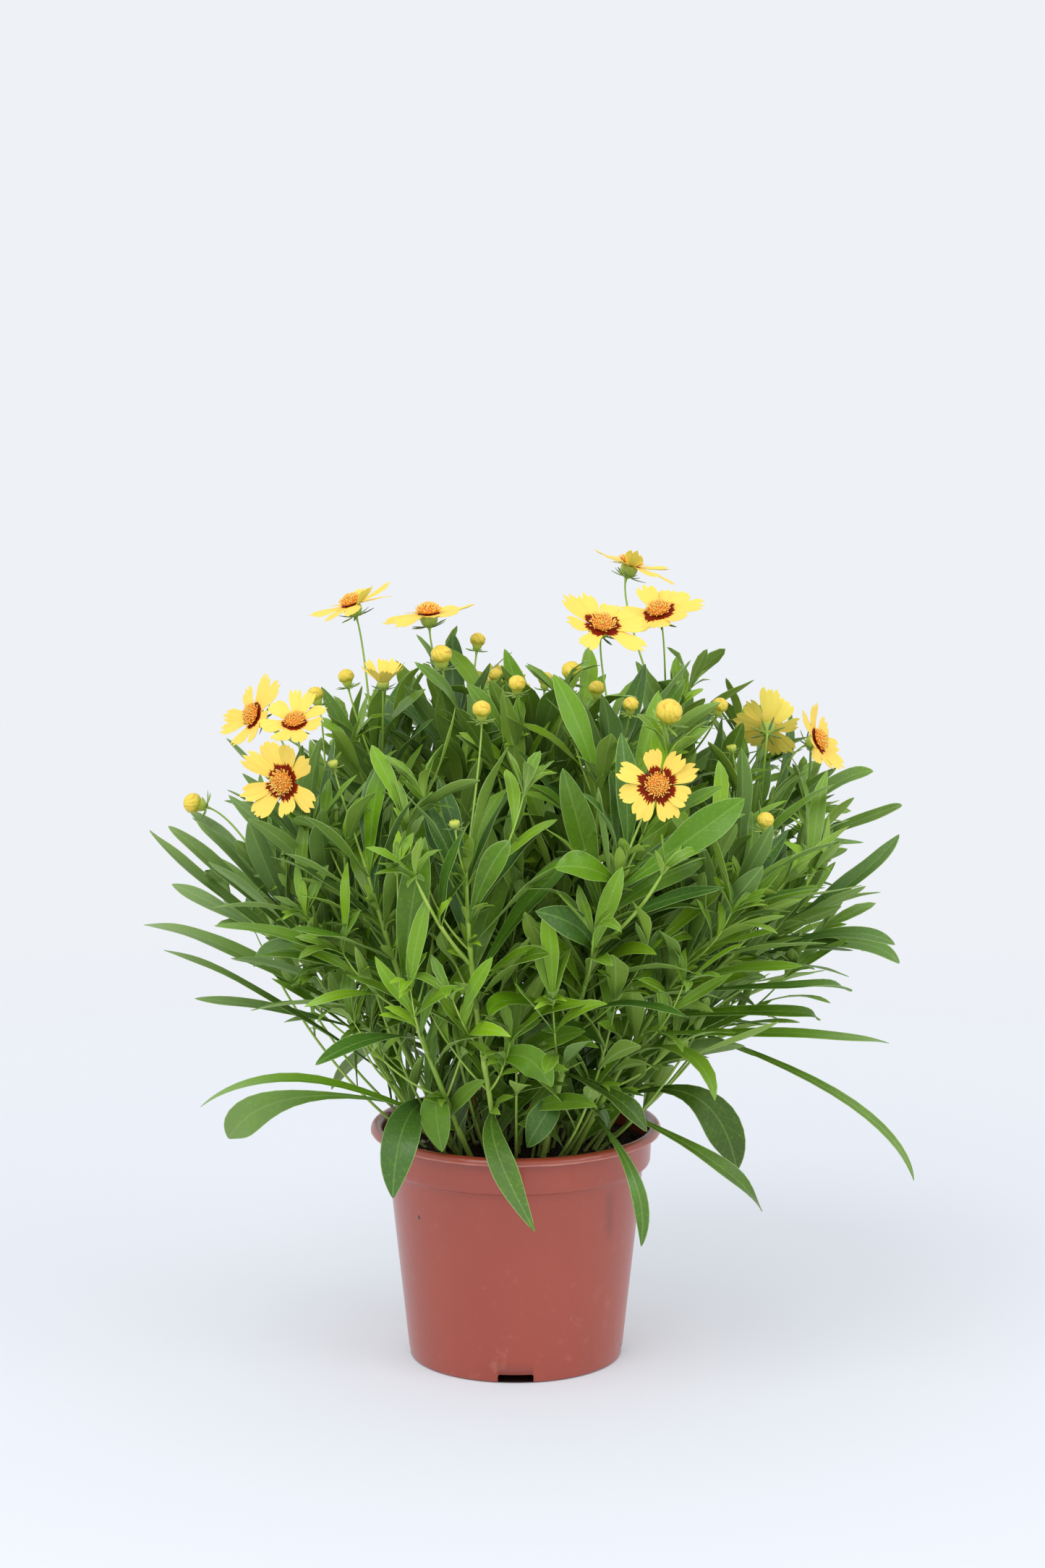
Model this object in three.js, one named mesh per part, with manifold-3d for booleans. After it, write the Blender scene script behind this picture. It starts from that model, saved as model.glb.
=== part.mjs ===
// A large-flowered coreopsis in its 19 cm nursery pot.
// Millimetres, +Z up. The origin is on the pot's axis, level with the ring the pot stands on.
import * as THREE from 'three';
import { mergeVertices } from 'three/addons/utils/BufferGeometryUtils.js';
import Module from 'manifold-3d';

const wasm = await Module();
wasm.setup();

// ---------------------------------------------------------------- driving dimensions

const GAP = 0.35; // clear space between neighbouring pieces
const ROUND = 28; // facets round the pot and the soil

const POT = {
  height: 155,
  wall: 2,
  lipRadius: 95,
  lipDrop: 4.8,
  collarRadius: 88.4,
  collarFoot: 130,
  stepRadius: 83.5,
  footRadius: 70,
  floorUnderside: 6,
  notchWidth: 23,
  notchCount: 4,
  drainRadius: 6,
  drainCircle: 44,
};

const SOIL_LEVEL = 140;
const ROOT_LEVEL = 127; // how deep the stems stand in their holes
const STEM = { footRadius: 2.5, topRadius: 1.7, bend: 0.17 };
const SHOOT = { footRadius: 1.7, topRadius: 1.3, bend: 0.5, length: 80, spread: 30 };
const STALK = { footRadius: 1.3, topRadius: 1, neck: 17, shares: [0.24, 0.62] };
const NODE_HALF = 1.2; // half the height of the joint that a pair of leaves grows from
const BLADE = { thickness: 0.9, stalkWidth: 2.4, stalkThickness: 1.5, fold: 0.2 };
const LONG_LEAF = 88; // leaves longer than this have a drawn-out stalk

const RAYS = 8; // rays, and outer bracts, round one flower head
const RAY = { hub: 6.3, length: 20, halfWidth: 6.9, thickness: 0.5, room: 0.46 };
const DISC = { radius: 8.3, height: 6.2, sides: 10, relief: 0.55 };
const CUP = { radius: 5.6, depth: 8.2, closedDepth: 5.6, bract: 11.5 };
const BUD = { radius: 6.1, height: 9.6, relief: 0.25 };

// Main stems: where each one leaves the soil, the point at its middle, and its top.
const STEMS = [
  { root: [-42, -8], via: [-108, -42, 238], top: [-157, -58, 331] },
  { root: [-30, -26], via: [-88, -62, 254], top: [-133, -74, 356] },
  { root: [-22, -44], via: [-62, -104, 246], top: [-92, -122, 348] },
  { root: [-6, -52], via: [-24, -122, 258], top: [-30, -136, 352] },
  { root: [14, -48], via: [42, -116, 268], top: [70, -140, 364] },
  { root: [30, -32], via: [86, -84, 246], top: [140, -98, 328] },
  { root: [44, -10], via: [112, -18, 231], top: [178, -26, 298] },
  { root: [40, 14], via: [106, 46, 250], top: [168, 54, 350] },
  { root: [20, 22], via: [62, 52, 268], top: [104, 52, 394] },
  { root: [18, -16], via: [42, -42, 284], top: [64, -46, 408] },
  { root: [2, -2], via: [8, 4, 280], top: [14, 2, 412] },
  { root: [-14, 8], via: [-28, 14, 280], top: [-40, 16, 408] },
  { root: [-30, 14], via: [-66, 26, 272], top: [-92, 14, 396] },
  { root: [-32, 34], via: [-82, 92, 246], top: [-122, 118, 336] },
  { root: [-2, 42], via: [-6, 108, 256], top: [2, 138, 352] },
  { root: [26, 38], via: [70, 94, 248], top: [112, 122, 338] },
];

// Open flower heads: the stem that bears each, how far up it the stalk leaves, the middle of
// the disc, the way it faces, its size, and either where the tip of each ray stands from that
// middle, or, for a regular ring, how far its rays stand up from flat.
const BLOOMS = [
  {
    stem: 1, from: 0.88, at: [-167, -22, 428], face: [-0.77, -0.56, 0.31], lift: 0, size: 0.98,
    tips: [[8, 4, 26], [17, -12, 22], [-6, 20, 14], [-21, 16, -2], [-23, 8, -12], [-13, -9, -18], [0, -20, -13], [9, -22, 1]],
  },
  {
    stem: 1, from: 0.94, at: [-139, -50, 428], face: [-0.1, -0.6, 0.79], lift: 0, size: 0.88,
    tips: [[-1, 16, 19], [11, 12, 18], [19, 7, 9], [17, -14, 1], [4, -24, -9], [-11, -21, -9], [-23, -6, -1], [-16, 13, 11]],
  },
  {
    stem: 1, from: 1, at: [-144, -96, 397], face: [-0.41, -0.9, 0.14], lift: 0, size: 1.04,
    tips: [[-11, 2, 27], [-25, 4, 16], [4, -10, 26], [17, -16, 17], [20, -18, -12], [3, -12, -19], [-18, -2, -22], [-27, 3, -9]],
  },
  {
    stem: 12, from: 1, at: [-106, 28, 493], face: [-0.3, -0.1, 0.95], lift: 0, size: 1.0,
    tips: [[-27, -3, -7], [-11, 22, -3], [11, -18, 14], [24, 5, 14], [26, -9, 8], [2, -26, -3], [8, 22, 8], [-14, -19, -8]],
  },
  {
    stem: 11, from: 1, at: [-56, 10, 489], face: [-0.05, -0.08, 0.99], lift: 0, size: 1.06,
    tips: [[-29, -2, -6], [-20, -18, -6], [-12, 24, -2], [29, -4, 6], [21, 17, 3], [1, -27, 1], [19, -20, 3], [3, 27, 0]],
  },
  { stem: 12, from: 0.89, at: [-84, -30, 452], face: [0.02, -0.16, 0.98], lift: 46, size: 0.72 },
  {
    stem: 9, from: 1, at: [55, -34, 487], face: [0.1, -0.56, 0.82], lift: 0, size: 1.06,
    tips: [[-24, 4, 19], [-11, 15, 19], [6, 20, 12], [27, -3, 2], [25, -14, -14], [-11, -22, -11], [-22, -11, 4], [18, 13, 9]],
  },
  {
    stem: 8, from: 0.94, at: [92, 5, 491], face: [-0.2, -0.45, 0.87], lift: 0, size: 1.04,
    tips: [[-9, 17, 15], [7, 21, 13], [28, -6, 7], [20, 11, 11], [-25, 2, 0], [-19, -16, -10], [1, -26, -6], [16, -21, -1]],
  },
  {
    stem: 8, from: 1, at: [75, 60, 515], face: [0.3, 0.05, 0.95], lift: 0, size: 1.04,
    tips: [[-23, 4, 10], [-12, 20, 4], [4, -20, 12], [29, -7, -12], [26, 10, -4], [12, 23, -3], [16, -21, -6], [-12, -21, 5]],
  },
  {
    stem: 4, from: 1, at: [86, -152, 405], face: [0.02, -0.97, 0.22], lift: 0, size: 1.0,
    tips: [[-4, -1, 23], [14, -2, 19], [25, 0, 9], [19, -8, -8], [8, -6, -21], [-13, -4, -20], [-24, 0, -8], [-24, 2, 9]],
  },
  {
    stem: 7, from: 0.93, at: [165, 40, 411], face: [0.1, 0.9, 0.43], lift: 0, size: 0.98,
    tips: [[2, -2, 27], [14, 5, 17], [-22, 6, 5], [-13, 4, 17], [21, 9, 2], [17, 6, -17], [3, 12, -20], [-14, 11, -12]],
  },
  {
    stem: 7, from: 1, at: [196, 20, 405], face: [0.84, -0.36, 0.4], lift: 0, size: 0.96,
    tips: [[-1, 2, 24], [9, 20, 8], [15, 17, -9], [18, 2, -17], [9, -12, -17], [-2, -21, -11], [-5, -24, 2], [-10, -12, 19]],
  },
  { stem: 14, from: 1, at: [-14, 164, 414], face: [-0.1, 0.82, 0.56], lift: 9, size: 1.0 },
];

// Closed buds, gold at the tip, and small ones that are still green all over.
const BUDS = [
  { stem: 0, from: 1, at: [-201, -40, 373], face: [-0.9, -0.2, 0.3], size: 1.05 },
  { stem: 12, from: 0.94, at: [-109, 16, 444], face: [-0.2, 0, 0.98], size: 0.85 },
  { stem: 1, from: 0.82, at: [-128, 2, 434], face: [-0.3, 0.1, 0.95], size: 0.9 },
  { stem: 11, from: 0.94, at: [-47, -12, 461], face: [-0.1, -0.1, 0.98], size: 1.1 },
  { stem: 11, from: 0.88, at: [-25, 30, 466], face: [0.1, 0.1, 0.98], size: 0.82 },
  { stem: 10, from: 0.89, at: [-12, 18, 445], face: [-0.2, 0.1, 0.97], size: 0.78 },
  { stem: 10, from: 0.94, at: [1, -50, 449], face: [0, -0.3, 0.95], size: 0.9 },
  { stem: 3, from: 1, at: [-21, -82, 437], face: [0, -0.2, 0.98], size: 0.95 },
  { stem: 10, from: 1, at: [19, 12, 443], face: [0.1, 0.1, 0.98], size: 0.8 },
  { stem: 10, from: 0.83, at: [35, -40, 455], face: [0.1, -0.2, 0.97], size: 1.05 },
  { stem: 9, from: 0.84, at: [52, -10, 440], face: [0, 0, 1], size: 0.85 },
  { stem: 9, from: 0.94, at: [72, -58, 437], face: [0.1, -0.2, 0.97], size: 0.82 },
  { stem: 9, from: 0.89, at: [94, -92, 437], face: [0.2, -0.6, 0.78], size: 1.35 },
  { stem: 8, from: 0.88, at: [131, 12, 426], face: [0.3, -0.1, 0.95], size: 0.85 },
  { stem: 5, from: 1, at: [154, -112, 373], face: [0.1, -0.3, 0.95], size: 0.85 },
  { stem: 15, from: 1, at: [106, 112, 420], face: [0.1, 0.1, 0.98], size: 0.9 },
];
const GREEN_BUDS = [
  { stem: 2, from: 1, at: [-114, -84, 408], face: [-0.2, -0.2, 0.96], size: 0.6 },
  { stem: 3, from: 0.93, at: [-37, -150, 382], face: [-0.1, -0.2, 0.97], size: 0.6 },
  { stem: 7, from: 0.87, at: [139, 4, 404], face: [-0.2, -0.1, 0.97], size: 0.6 },
];

// Leaves placed one by one: the ones that draw the plant's outline, hang over the pot or
// stand in front. Each has its stem, how far up it grows, a point at mid-leaf, and its tip.
const UP = [0, -0.4, 0.9];
const FRONT = [0, -0.9, 0.35];
const PLACED = [
  { stem: 0, from: 0.66, via: [-196, -54, 325], tip: [-233, -45, 357], width: 15, face: UP },
  { stem: 0, from: 0.72, via: [-186, -66, 336], tip: [-217, -74, 366], width: 15, face: UP },
  { stem: 0, from: 0.84, via: [-178, -86, 348], tip: [-199, -96, 372], width: 14, face: UP },
  { stem: 0, from: 0.52, via: [-190, -22, 278], tip: [-243, 12, 285], width: 13, face: UP },
  { stem: 0, from: 0.3, via: [-162, -74, 259], tip: [-221, -80, 289], width: 11, face: UP },
  { stem: 2, from: 0.62, via: [-130, -130, 304], tip: [-185, -132, 317], width: 15, face: UP },
  { stem: 2, from: 0.66, via: [-143, -106, 287], tip: [-169, -102, 270], width: 15, face: UP },
  { stem: 2, from: 0.16, via: [-132, -100, 208], tip: [-198, -98, 190], width: 10, face: UP },
  { stem: 1, from: 0.17, via: [-138, -72, 190], tip: [-184, -62, 159], width: 19, face: UP },
  { stem: 1, from: 0.2, via: [-78, -108, 178], tip: [-88, -122, 134], width: 23, face: FRONT },
  { stem: 2, from: 0.24, via: [-50, -88, 190], tip: [-46, -84, 158], width: 20, face: FRONT },
  { stem: 3, from: 0.2, via: [-10, -116, 162], tip: [14, -128, 118], width: 17, face: FRONT },
  { stem: 4, from: 0.22, via: [18, -98, 184], tip: [4, -88, 160], width: 18, face: FRONT },
  { stem: 4, from: 0.28, via: [62, -112, 200], tip: [82, -112, 178], width: 15, face: UP },
  { stem: 5, from: 0.18, via: [75, -112, 146], tip: [79, -110, 103], width: 14, face: FRONT },
  { stem: 5, from: 0.22, via: [120, -96, 158], tip: [160, -90, 122], width: 14, face: UP },
  { stem: 6, from: 0.22, via: [118, -64, 186], tip: [142, -58, 138], width: 21, face: UP },
  { stem: 6, from: 0.46, via: [208, -96, 194], tip: [249, -118, 148], width: 11, face: UP },
  { stem: 6, from: 0.44, via: [170, -52, 226], tip: [199, -72, 220], width: 10, face: UP },
  { stem: 5, from: 0.44, via: [178, -74, 232], tip: [239, -54, 222], width: 10, face: UP },
  { stem: 5, from: 0.5, via: [166, -90, 250], tip: [191, -84, 244], width: 12, face: UP },
  { stem: 5, from: 0.58, via: [176, -104, 270], tip: [210, -98, 267], width: 15, face: UP },
  { stem: 6, from: 0.74, via: [212, -14, 279], tip: [249, -15, 265], width: 14, face: UP },
  { stem: 6, from: 0.78, via: [206, -44, 290], tip: [242, -44, 283], width: 13, face: UP },
  { stem: 6, from: 0.86, via: [214, -20, 318], tip: [246, -8, 350], width: 16, face: UP },
  { stem: 7, from: 0.8, via: [218, 10, 352], tip: [249, -6, 367], width: 10, face: UP },
  { stem: 7, from: 0.88, via: [206, 62, 366], tip: [237, 66, 378], width: 13, face: UP },
  { stem: 4, from: 0.82, via: [102, -163, 371], tip: [138, -166, 399], width: 21, face: FRONT },
  { stem: 2, from: 0.6, via: [-64, -150, 322], tip: [-54, -150, 372], width: 20, face: FRONT },
  { stem: 4, from: 0.86, via: [44, -166, 356], tip: [24, -172, 357], width: 20, face: FRONT },
  { stem: 3, from: 0.78, via: [-17, -164, 352], tip: [-3, -170, 374], width: 15, face: FRONT },
  { stem: 3, from: 0.52, via: [0, -160, 296], tip: [21, -168, 306], width: 15, face: UP },
  { stem: 4, from: 0.44, via: [-2, -144, 270], tip: [-19, -152, 261], width: 17, face: UP },
  { stem: 3, from: 0.34, via: [6, -138, 232], tip: [20, -142, 211], width: 19, face: FRONT },
  { stem: 4, from: 0.62, via: [38, -158, 318], tip: [12, -168, 330], width: 18, face: FRONT },
  { stem: 13, from: 0.2, via: [-92, 104, 182], tip: [-128, 128, 146], width: 18, face: [-0.4, 0.5, 0.8] },
  { stem: 14, from: 0.22, via: [-16, 122, 176], tip: [-26, 136, 128], width: 19, face: [0, 0.9, 0.4] },
  { stem: 15, from: 0.2, via: [92, 98, 186], tip: [132, 116, 164], width: 17, face: [0.4, 0.5, 0.8] },
];

// Leaves that follow the rule: opposite pairs, each pair a quarter turn on from the last.
const PAIR_PLACES = [0.45, 0.58, 0.7, 0.79, 0.86, 0.915, 0.97];
const SHOOT_PLACE = 0.64;
const SHOOT_PAIRS = [0.5, 0.95];
const SWELL = GAP / 2 + 0.15; // how much a leaf is swollen to test that it is clear
const LIGHT = { from: 8, to: 72, bloom: 20, bud: 8 }; // the room that is kept in front of a head
const OUTLINE = { x: 8, halfWidth: 248, halfDepth: 186, height: 326 }; // the mound of leaves
const TRIES = 18; // tries to swing or shorten a leaf until it is clear of its neighbours

// ---------------------------------------------------------------- geometry in words and code

const toVector = (xyz) => new THREE.Vector3(...xyz);
const radians = THREE.MathUtils.degToRad;
const mix = THREE.MathUtils.lerp;

// A repeatable draw from 0 to 1 for any two whole numbers.
function draw(item, kind) {
  const value = Math.sin(item * 12.9898 + kind * 78.233) * 43758.5453;
  return value - Math.floor(value);
}

// A smooth arch from start to end that passes through via at its middle.
function archThrough(start, via, end) {
  const control = via.clone().multiplyScalar(2).addScaledVector(start, -0.5).addScaledVector(end, -0.5);
  return new THREE.QuadraticBezierCurve3(start, control, end);
}

// The part of vector that is square to axis, at unit length.
function squareTo(vector, axis) {
  return vector.clone().addScaledVector(axis, -vector.dot(axis)).normalize();
}

// The unit normal of the plane that an arch lies in.
function archPlane(curve) {
  const chord = curve.v2.clone().sub(curve.v0);
  const normal = curve.v1.clone().sub(curve.v0).cross(chord);
  const isStraight = normal.length() < 1e-3 * chord.lengthSq();
  return isStraight ? squareTo(new THREE.Vector3(0.6, 0.8, 0), chord.normalize()) : normal.normalize();
}

// The way that points out of an arch's side at an angle round it.
function sideways(curve, t, angle) {
  const plane = archPlane(curve);
  const across = curve.getTangent(t).cross(plane);
  return plane.multiplyScalar(Math.cos(angle)).addScaledVector(across, Math.sin(angle));
}

function toSolid(vertProperties, triVerts) {
  return new wasm.Manifold(new wasm.Mesh({ numProp: 3, vertProperties, triVerts }));
}

// A solid from a closed three.js geometry.
function solidFrom(geometry) {
  const bare = geometry.clone();
  bare.deleteAttribute('normal');
  bare.deleteAttribute('uv');
  const merged = mergeVertices(bare, 1e-4);
  return toSolid(new Float32Array(merged.attributes.position.array), new Uint32Array(merged.index.array));
}

// A skin of triangles put together ring by ring.
class Skin {
  positions = [];

  faces = [];

  point(place) {
    return this.positions.push(place.x, place.y, place.z) / 3 - 1;
  }

  ring(places) {
    return places.map((place) => this.point(place));
  }

  place(index) {
    return new THREE.Vector3().fromArray(this.positions, index * 3);
  }

  // The ways from a ring's middle to its points.
  spokes(ring) {
    const places = ring.map((index) => this.place(index));
    const middle = places.reduce((sum, place) => sum.add(place), new THREE.Vector3());
    middle.divideScalar(ring.length);
    return places.map((place) => place.sub(middle).normalize());
  }

  // Turns a ring's numbering until its points face as the ones of the ring to join do.
  turned(ring, upper) {
    if (ring.length !== upper.length || ring.length === 1) return ring;
    const count = ring.length;
    const [low, high] = [this.spokes(ring), this.spokes(upper)];
    const match = (turn) => high.reduce((sum, spoke, i) => sum + spoke.dot(low[(i + turn) % count]), 0);
    let best = 0;
    for (let turn = 1; turn < count; turn += 1) if (match(turn) > match(best)) best = turn;
    return ring.map((_, i) => ring[(i + best) % count]);
  }

  // Whether a square bulges outward when it is split from a to c.
  bulges(a, b, c, d) {
    const [edge, diagonal, other] = [b, c, d].map((index) => this.place(index).sub(this.place(a)));
    return edge.cross(diagonal).dot(other) < 0;
  }

  // A band of triangles between two rings; a ring of one point is a tip. Squares are split so
  // that they bulge outward, but in a blade alike on both faces, so that these can't cross.
  band(lowRing, high, isBlade = false) {
    const low = this.turned(lowRing, high);
    const sides = Math.max(low.length, high.length);
    for (let i = 0; i < sides; i += 1) {
      const next = (i + 1) % sides;
      const [a, b] = low.length > 1 ? [low[i], low[next]] : [low[0], low[0]];
      const [d, c] = high.length > 1 ? [high[i], high[next]] : [high[0], high[0]];
      const isAcross = isBlade ? i < sides / 2 : this.bulges(a, b, c, d);
      const halves = isAcross ? [[a, b, c], [a, c, d]] : [[a, b, d], [b, c, d]];
      const whole = halves.filter((face) => new Set(face).size === 3);
      whole.forEach((face) => this.faces.push(...face));
    }
    return high;
  }

  close(ring) {
    for (let i = 1; i < ring.length - 1; i += 1) this.faces.push(ring[0], ring[i], ring[i + 1]);
  }

  solid() {
    return toSolid(new Float32Array(this.positions), new Uint32Array(this.faces));
  }
}

// A closed solid from a list of rings of points.
function loft(rings) {
  const skin = new Skin();
  const [first, ...others] = rings.map((ring) => skin.ring(ring));
  skin.close([...first].reverse());
  const last = others.reduce((low, high) => skin.band(low, high), first);
  skin.close(last);
  return skin.solid();
}

// Four points round an arch at share t, with the middle of side 0 at an angle round it.
function limbRing(curve, t, radius, turn) {
  return [-1, 1, 3, 5].map((corner) => {
    const way = sideways(curve, t, turn + (corner * Math.PI) / 4);
    return curve.getPoint(t).addScaledVector(way, radius);
  });
}

// The four points on one side of a limb that a leaf or branch starts from, or its end ring.
function portAt({ curve, size, turn }, from, side) {
  const ringAt = (t) => limbRing(curve, t, mix(size.footRadius, size.topRadius, t), turn);
  if (from === 1) return ringAt(1);
  const half = NODE_HALF / curve.getLength();
  const foot = ringAt(from - half);
  const head = ringAt(from + half);
  const next = (side + 1) % 4;
  return [foot[next], head[next], head[side], foot[side]];
}

// A port drawn a little way along its branch, and widened, to start a swollen copy.
function swollenPort(port, next, grow) {
  const centre = port.reduce((sum, point) => sum.add(point), new THREE.Vector3()).divideScalar(4);
  const out = next.clone().sub(centre).setLength(2 * grow);
  return port.map((point) => point.clone().sub(centre).multiplyScalar(1 + grow).add(centre).add(out));
}

// A plain square rod along an arch, for telling whether what grows there is clear.
function rod({ curve, size, turn }, grow, shares, port) {
  const rings = shares.map((t) => limbRing(curve, t, mix(size.footRadius, size.topRadius, t) + grow, turn));
  return loft(port ? [grow ? swollenPort(port, curve.getPoint(shares[0]), grow) : port, ...rings] : rings);
}

// Half the width of a blade as a share of its widest, at share s of its length: a narrow
// stalk, a swelling that is widest past the middle, and a pointed tip.
function bladeShare(s) {
  return Math.sin(Math.PI * Math.min(1, Math.max(0, s)) ** 1.25) ** 1.15;
}

// The section of a folded leaf blade: a flat V, thickest at the midrib.
function bladeRing({ curve, face, width }, s, grow = 0) {
  const tangent = curve.getTangent(s);
  const normal = squareTo(face, tangent);
  const across = normal.clone().cross(tangent);
  const share = bladeShare(s);
  const half = Math.max(BLADE.stalkWidth / 2, (width / 2) * share) + grow;
  const thick = mix(BLADE.stalkThickness, BLADE.thickness, Math.min(1, s * 3)) / 2 + grow;
  const centre = curve.getPoint(s);
  const edge = centre.clone().addScaledVector(normal, BLADE.fold * half * share);
  return [
    edge.clone().addScaledVector(across, half),
    centre.clone().addScaledVector(normal, thick),
    edge.clone().addScaledVector(across, -half),
    centre.clone().addScaledVector(normal, -thick),
  ];
}

// The rings that a leaf is drawn with: three on a long one, two on a short one.
function bladeShares(leaf) {
  return leaf.curve.getLength() > LONG_LEAF ? [0.3, 0.57, 0.8] : [0.4, 0.72];
}

// A leaf by itself, swollen by grow.
function blade(leaf, grow = 0) {
  const shares = bladeShares(leaf);
  const start = grow ? swollenPort(leaf.port, leaf.curve.getPoint(shares[0]), grow) : leaf.port;
  const end = grow ? bladeRing(leaf, 0.99, grow) : [leaf.curve.getPoint(1)];
  return loft([start, ...shares.map((s) => bladeRing(leaf, s, grow)), end]);
}

// The broad part of a leaf, swollen by grow.
function bladeEnd(leaf, grow) {
  return loft([...bladeShares(leaf), 0.99].map((s) => bladeRing(leaf, s, grow)));
}

// Two unit vectors square to an axis, the first as level as it can be.
function basis(axis) {
  const level = new THREE.Vector3(-axis.y, axis.x, 0);
  const first = level.length() > 0.05 ? level.normalize() : new THREE.Vector3(1, 0, 0);
  return [first, axis.clone().cross(first).normalize()];
}

// A function that turns radius, angle and height in a head's own frame into a point.
function headFrame(at, face) {
  const axis = toVector(face).normalize();
  const [first, second] = basis(axis);
  const centre = toVector(at);
  return (radius, angle, height) => centre.clone()
    .addScaledVector(axis, height)
    .addScaledVector(first, radius * Math.cos(angle))
    .addScaledVector(second, radius * Math.sin(angle));
}

// ---------------------------------------------------------------- pot and soil

function lathe(profile) {
  const points = profile.map(([radius, height]) => new THREE.Vector2(radius, height));
  const geometry = new THREE.LatheGeometry(points, ROUND);
  geometry.rotateX(Math.PI / 2);
  return geometry;
}

function makePot() {
  const inner = (radius) => radius - POT.wall;
  let pot = solidFrom(lathe([
    [0, POT.floorUnderside],
    [POT.footRadius - 3.4, POT.floorUnderside],
    [POT.footRadius - 3.6, 0],
    [POT.footRadius - 1.2, 0],
    [POT.footRadius, 1.6],
    [POT.stepRadius, POT.collarFoot - 3],
    [POT.collarRadius - 0.6, POT.collarFoot],
    [POT.collarRadius, POT.height - POT.lipDrop],
    [POT.lipRadius - 0.6, POT.height - POT.lipDrop + 0.4],
    [POT.lipRadius, POT.height - 2],
    [POT.lipRadius - 1.4, POT.height],
    [POT.lipRadius - 6.4, POT.height],
    [inner(POT.collarRadius), POT.height - 6],
    [inner(POT.collarRadius) - 0.6, POT.collarFoot + 1],
    [inner(POT.stepRadius), POT.collarFoot - 3],
    [inner(POT.footRadius), POT.floorUnderside + POT.wall],
    [0, POT.floorUnderside + POT.wall],
  ]));
  for (let i = 0; i < POT.notchCount; i += 1) {
    const angle = (i / POT.notchCount + 0.25) * 2 * Math.PI;
    const notch = new THREE.BoxGeometry(24, POT.notchWidth, 2 * POT.floorUnderside - 0.4);
    notch.translate(POT.footRadius, 0, 0);
    notch.rotateZ(angle);
    pot = pot.subtract(solidFrom(notch));
    const drain = new THREE.CylinderGeometry(POT.drainRadius, POT.drainRadius, 12, 8);
    drain.rotateX(Math.PI / 2);
    drain.translate(POT.drainCircle, 0, POT.floorUnderside);
    drain.rotateZ(angle + Math.PI / POT.notchCount);
    pot = pot.subtract(solidFrom(drain));
  }
  return pot;
}

// The root ball fills the pot; its top is a little crumbly, with a plain hole for each stem.
function makeSoil(stems) {
  const inner = (radius) => radius - POT.wall - GAP;
  const geometry = lathe([
    [0, POT.floorUnderside + POT.wall + GAP],
    [inner(POT.footRadius), POT.floorUnderside + POT.wall + GAP],
    [inner(POT.stepRadius), POT.collarFoot - 3],
    [inner(POT.collarRadius) - 0.6, POT.collarFoot + 1],
    [inner(POT.collarRadius) - 0.4, SOIL_LEVEL - 1],
    [58, SOIL_LEVEL],
    [0, SOIL_LEVEL + 1],
  ]);
  const place = geometry.attributes.position;
  for (let i = 0; i < place.count; i += 1) {
    const reach = Math.hypot(place.getX(i), place.getY(i));
    if (place.getZ(i) > SOIL_LEVEL - 0.5 && reach > 5) {
      const crumb = draw(Math.round(place.getX(i)), Math.round(place.getY(i)));
      place.setZ(i, place.getZ(i) + 2.4 * (crumb - 0.5));
    }
  }
  return stems.reduce((soil, { curve, turn }) => {
    const grow = GAP + 0.15;
    const foot = curve.clone();
    foot.v0.addScaledVector(curve.getTangent(0), -GAP);
    const rings = [limbRing(foot, 0, STEM.footRadius + grow, turn)];
    rings.push(limbRing(curve, STEM.bend, mix(STEM.footRadius, STEM.topRadius, STEM.bend) + grow, turn));
    return soil.subtract(loft(rings));
  }, solidFrom(geometry));
}

// ---------------------------------------------------------------- flower heads and buds

// One ray's toothed edge, as shares of its length and half width.
const RAY_EDGE = [
  [0.6, -0.98], [0.96, -0.8], [0.88, -0.38], [1.04, 0], [0.88, 0.38], [0.96, 0.8], [0.6, 0.98],
];

// Each ray's turn round the head, its rise from flat, its length and how late it rises.
function rayWays({ face, lift, size, tips }, index) {
  if (!tips) {
    return Array.from({ length: RAYS }, (_, ray) => ({
      turn: (2 * Math.PI * ray) / RAYS,
      rise: radians(lift + 9 * (draw(index * 10 + ray, 1) - 0.5)),
      long: RAY.length * size * (0.95 + 0.1 * draw(index * 10 + ray, 2)),
      late: 1,
    }));
  }
  const axis = toVector(face).normalize();
  const [first, second] = basis(axis);
  const ways = tips.map(toVector).map((tip) => {
    const up = tip.dot(axis);
    const out = Math.hypot(tip.dot(first), tip.dot(second)) - RAY.hub * size * 0.9;
    const turn = Math.atan2(tip.dot(second), tip.dot(first));
    return { turn, rise: Math.atan2(up, out), long: Math.hypot(up, out), late: 1.4 };
  });
  return ways.sort((one, other) => one.turn - other.turn);
}

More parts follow.
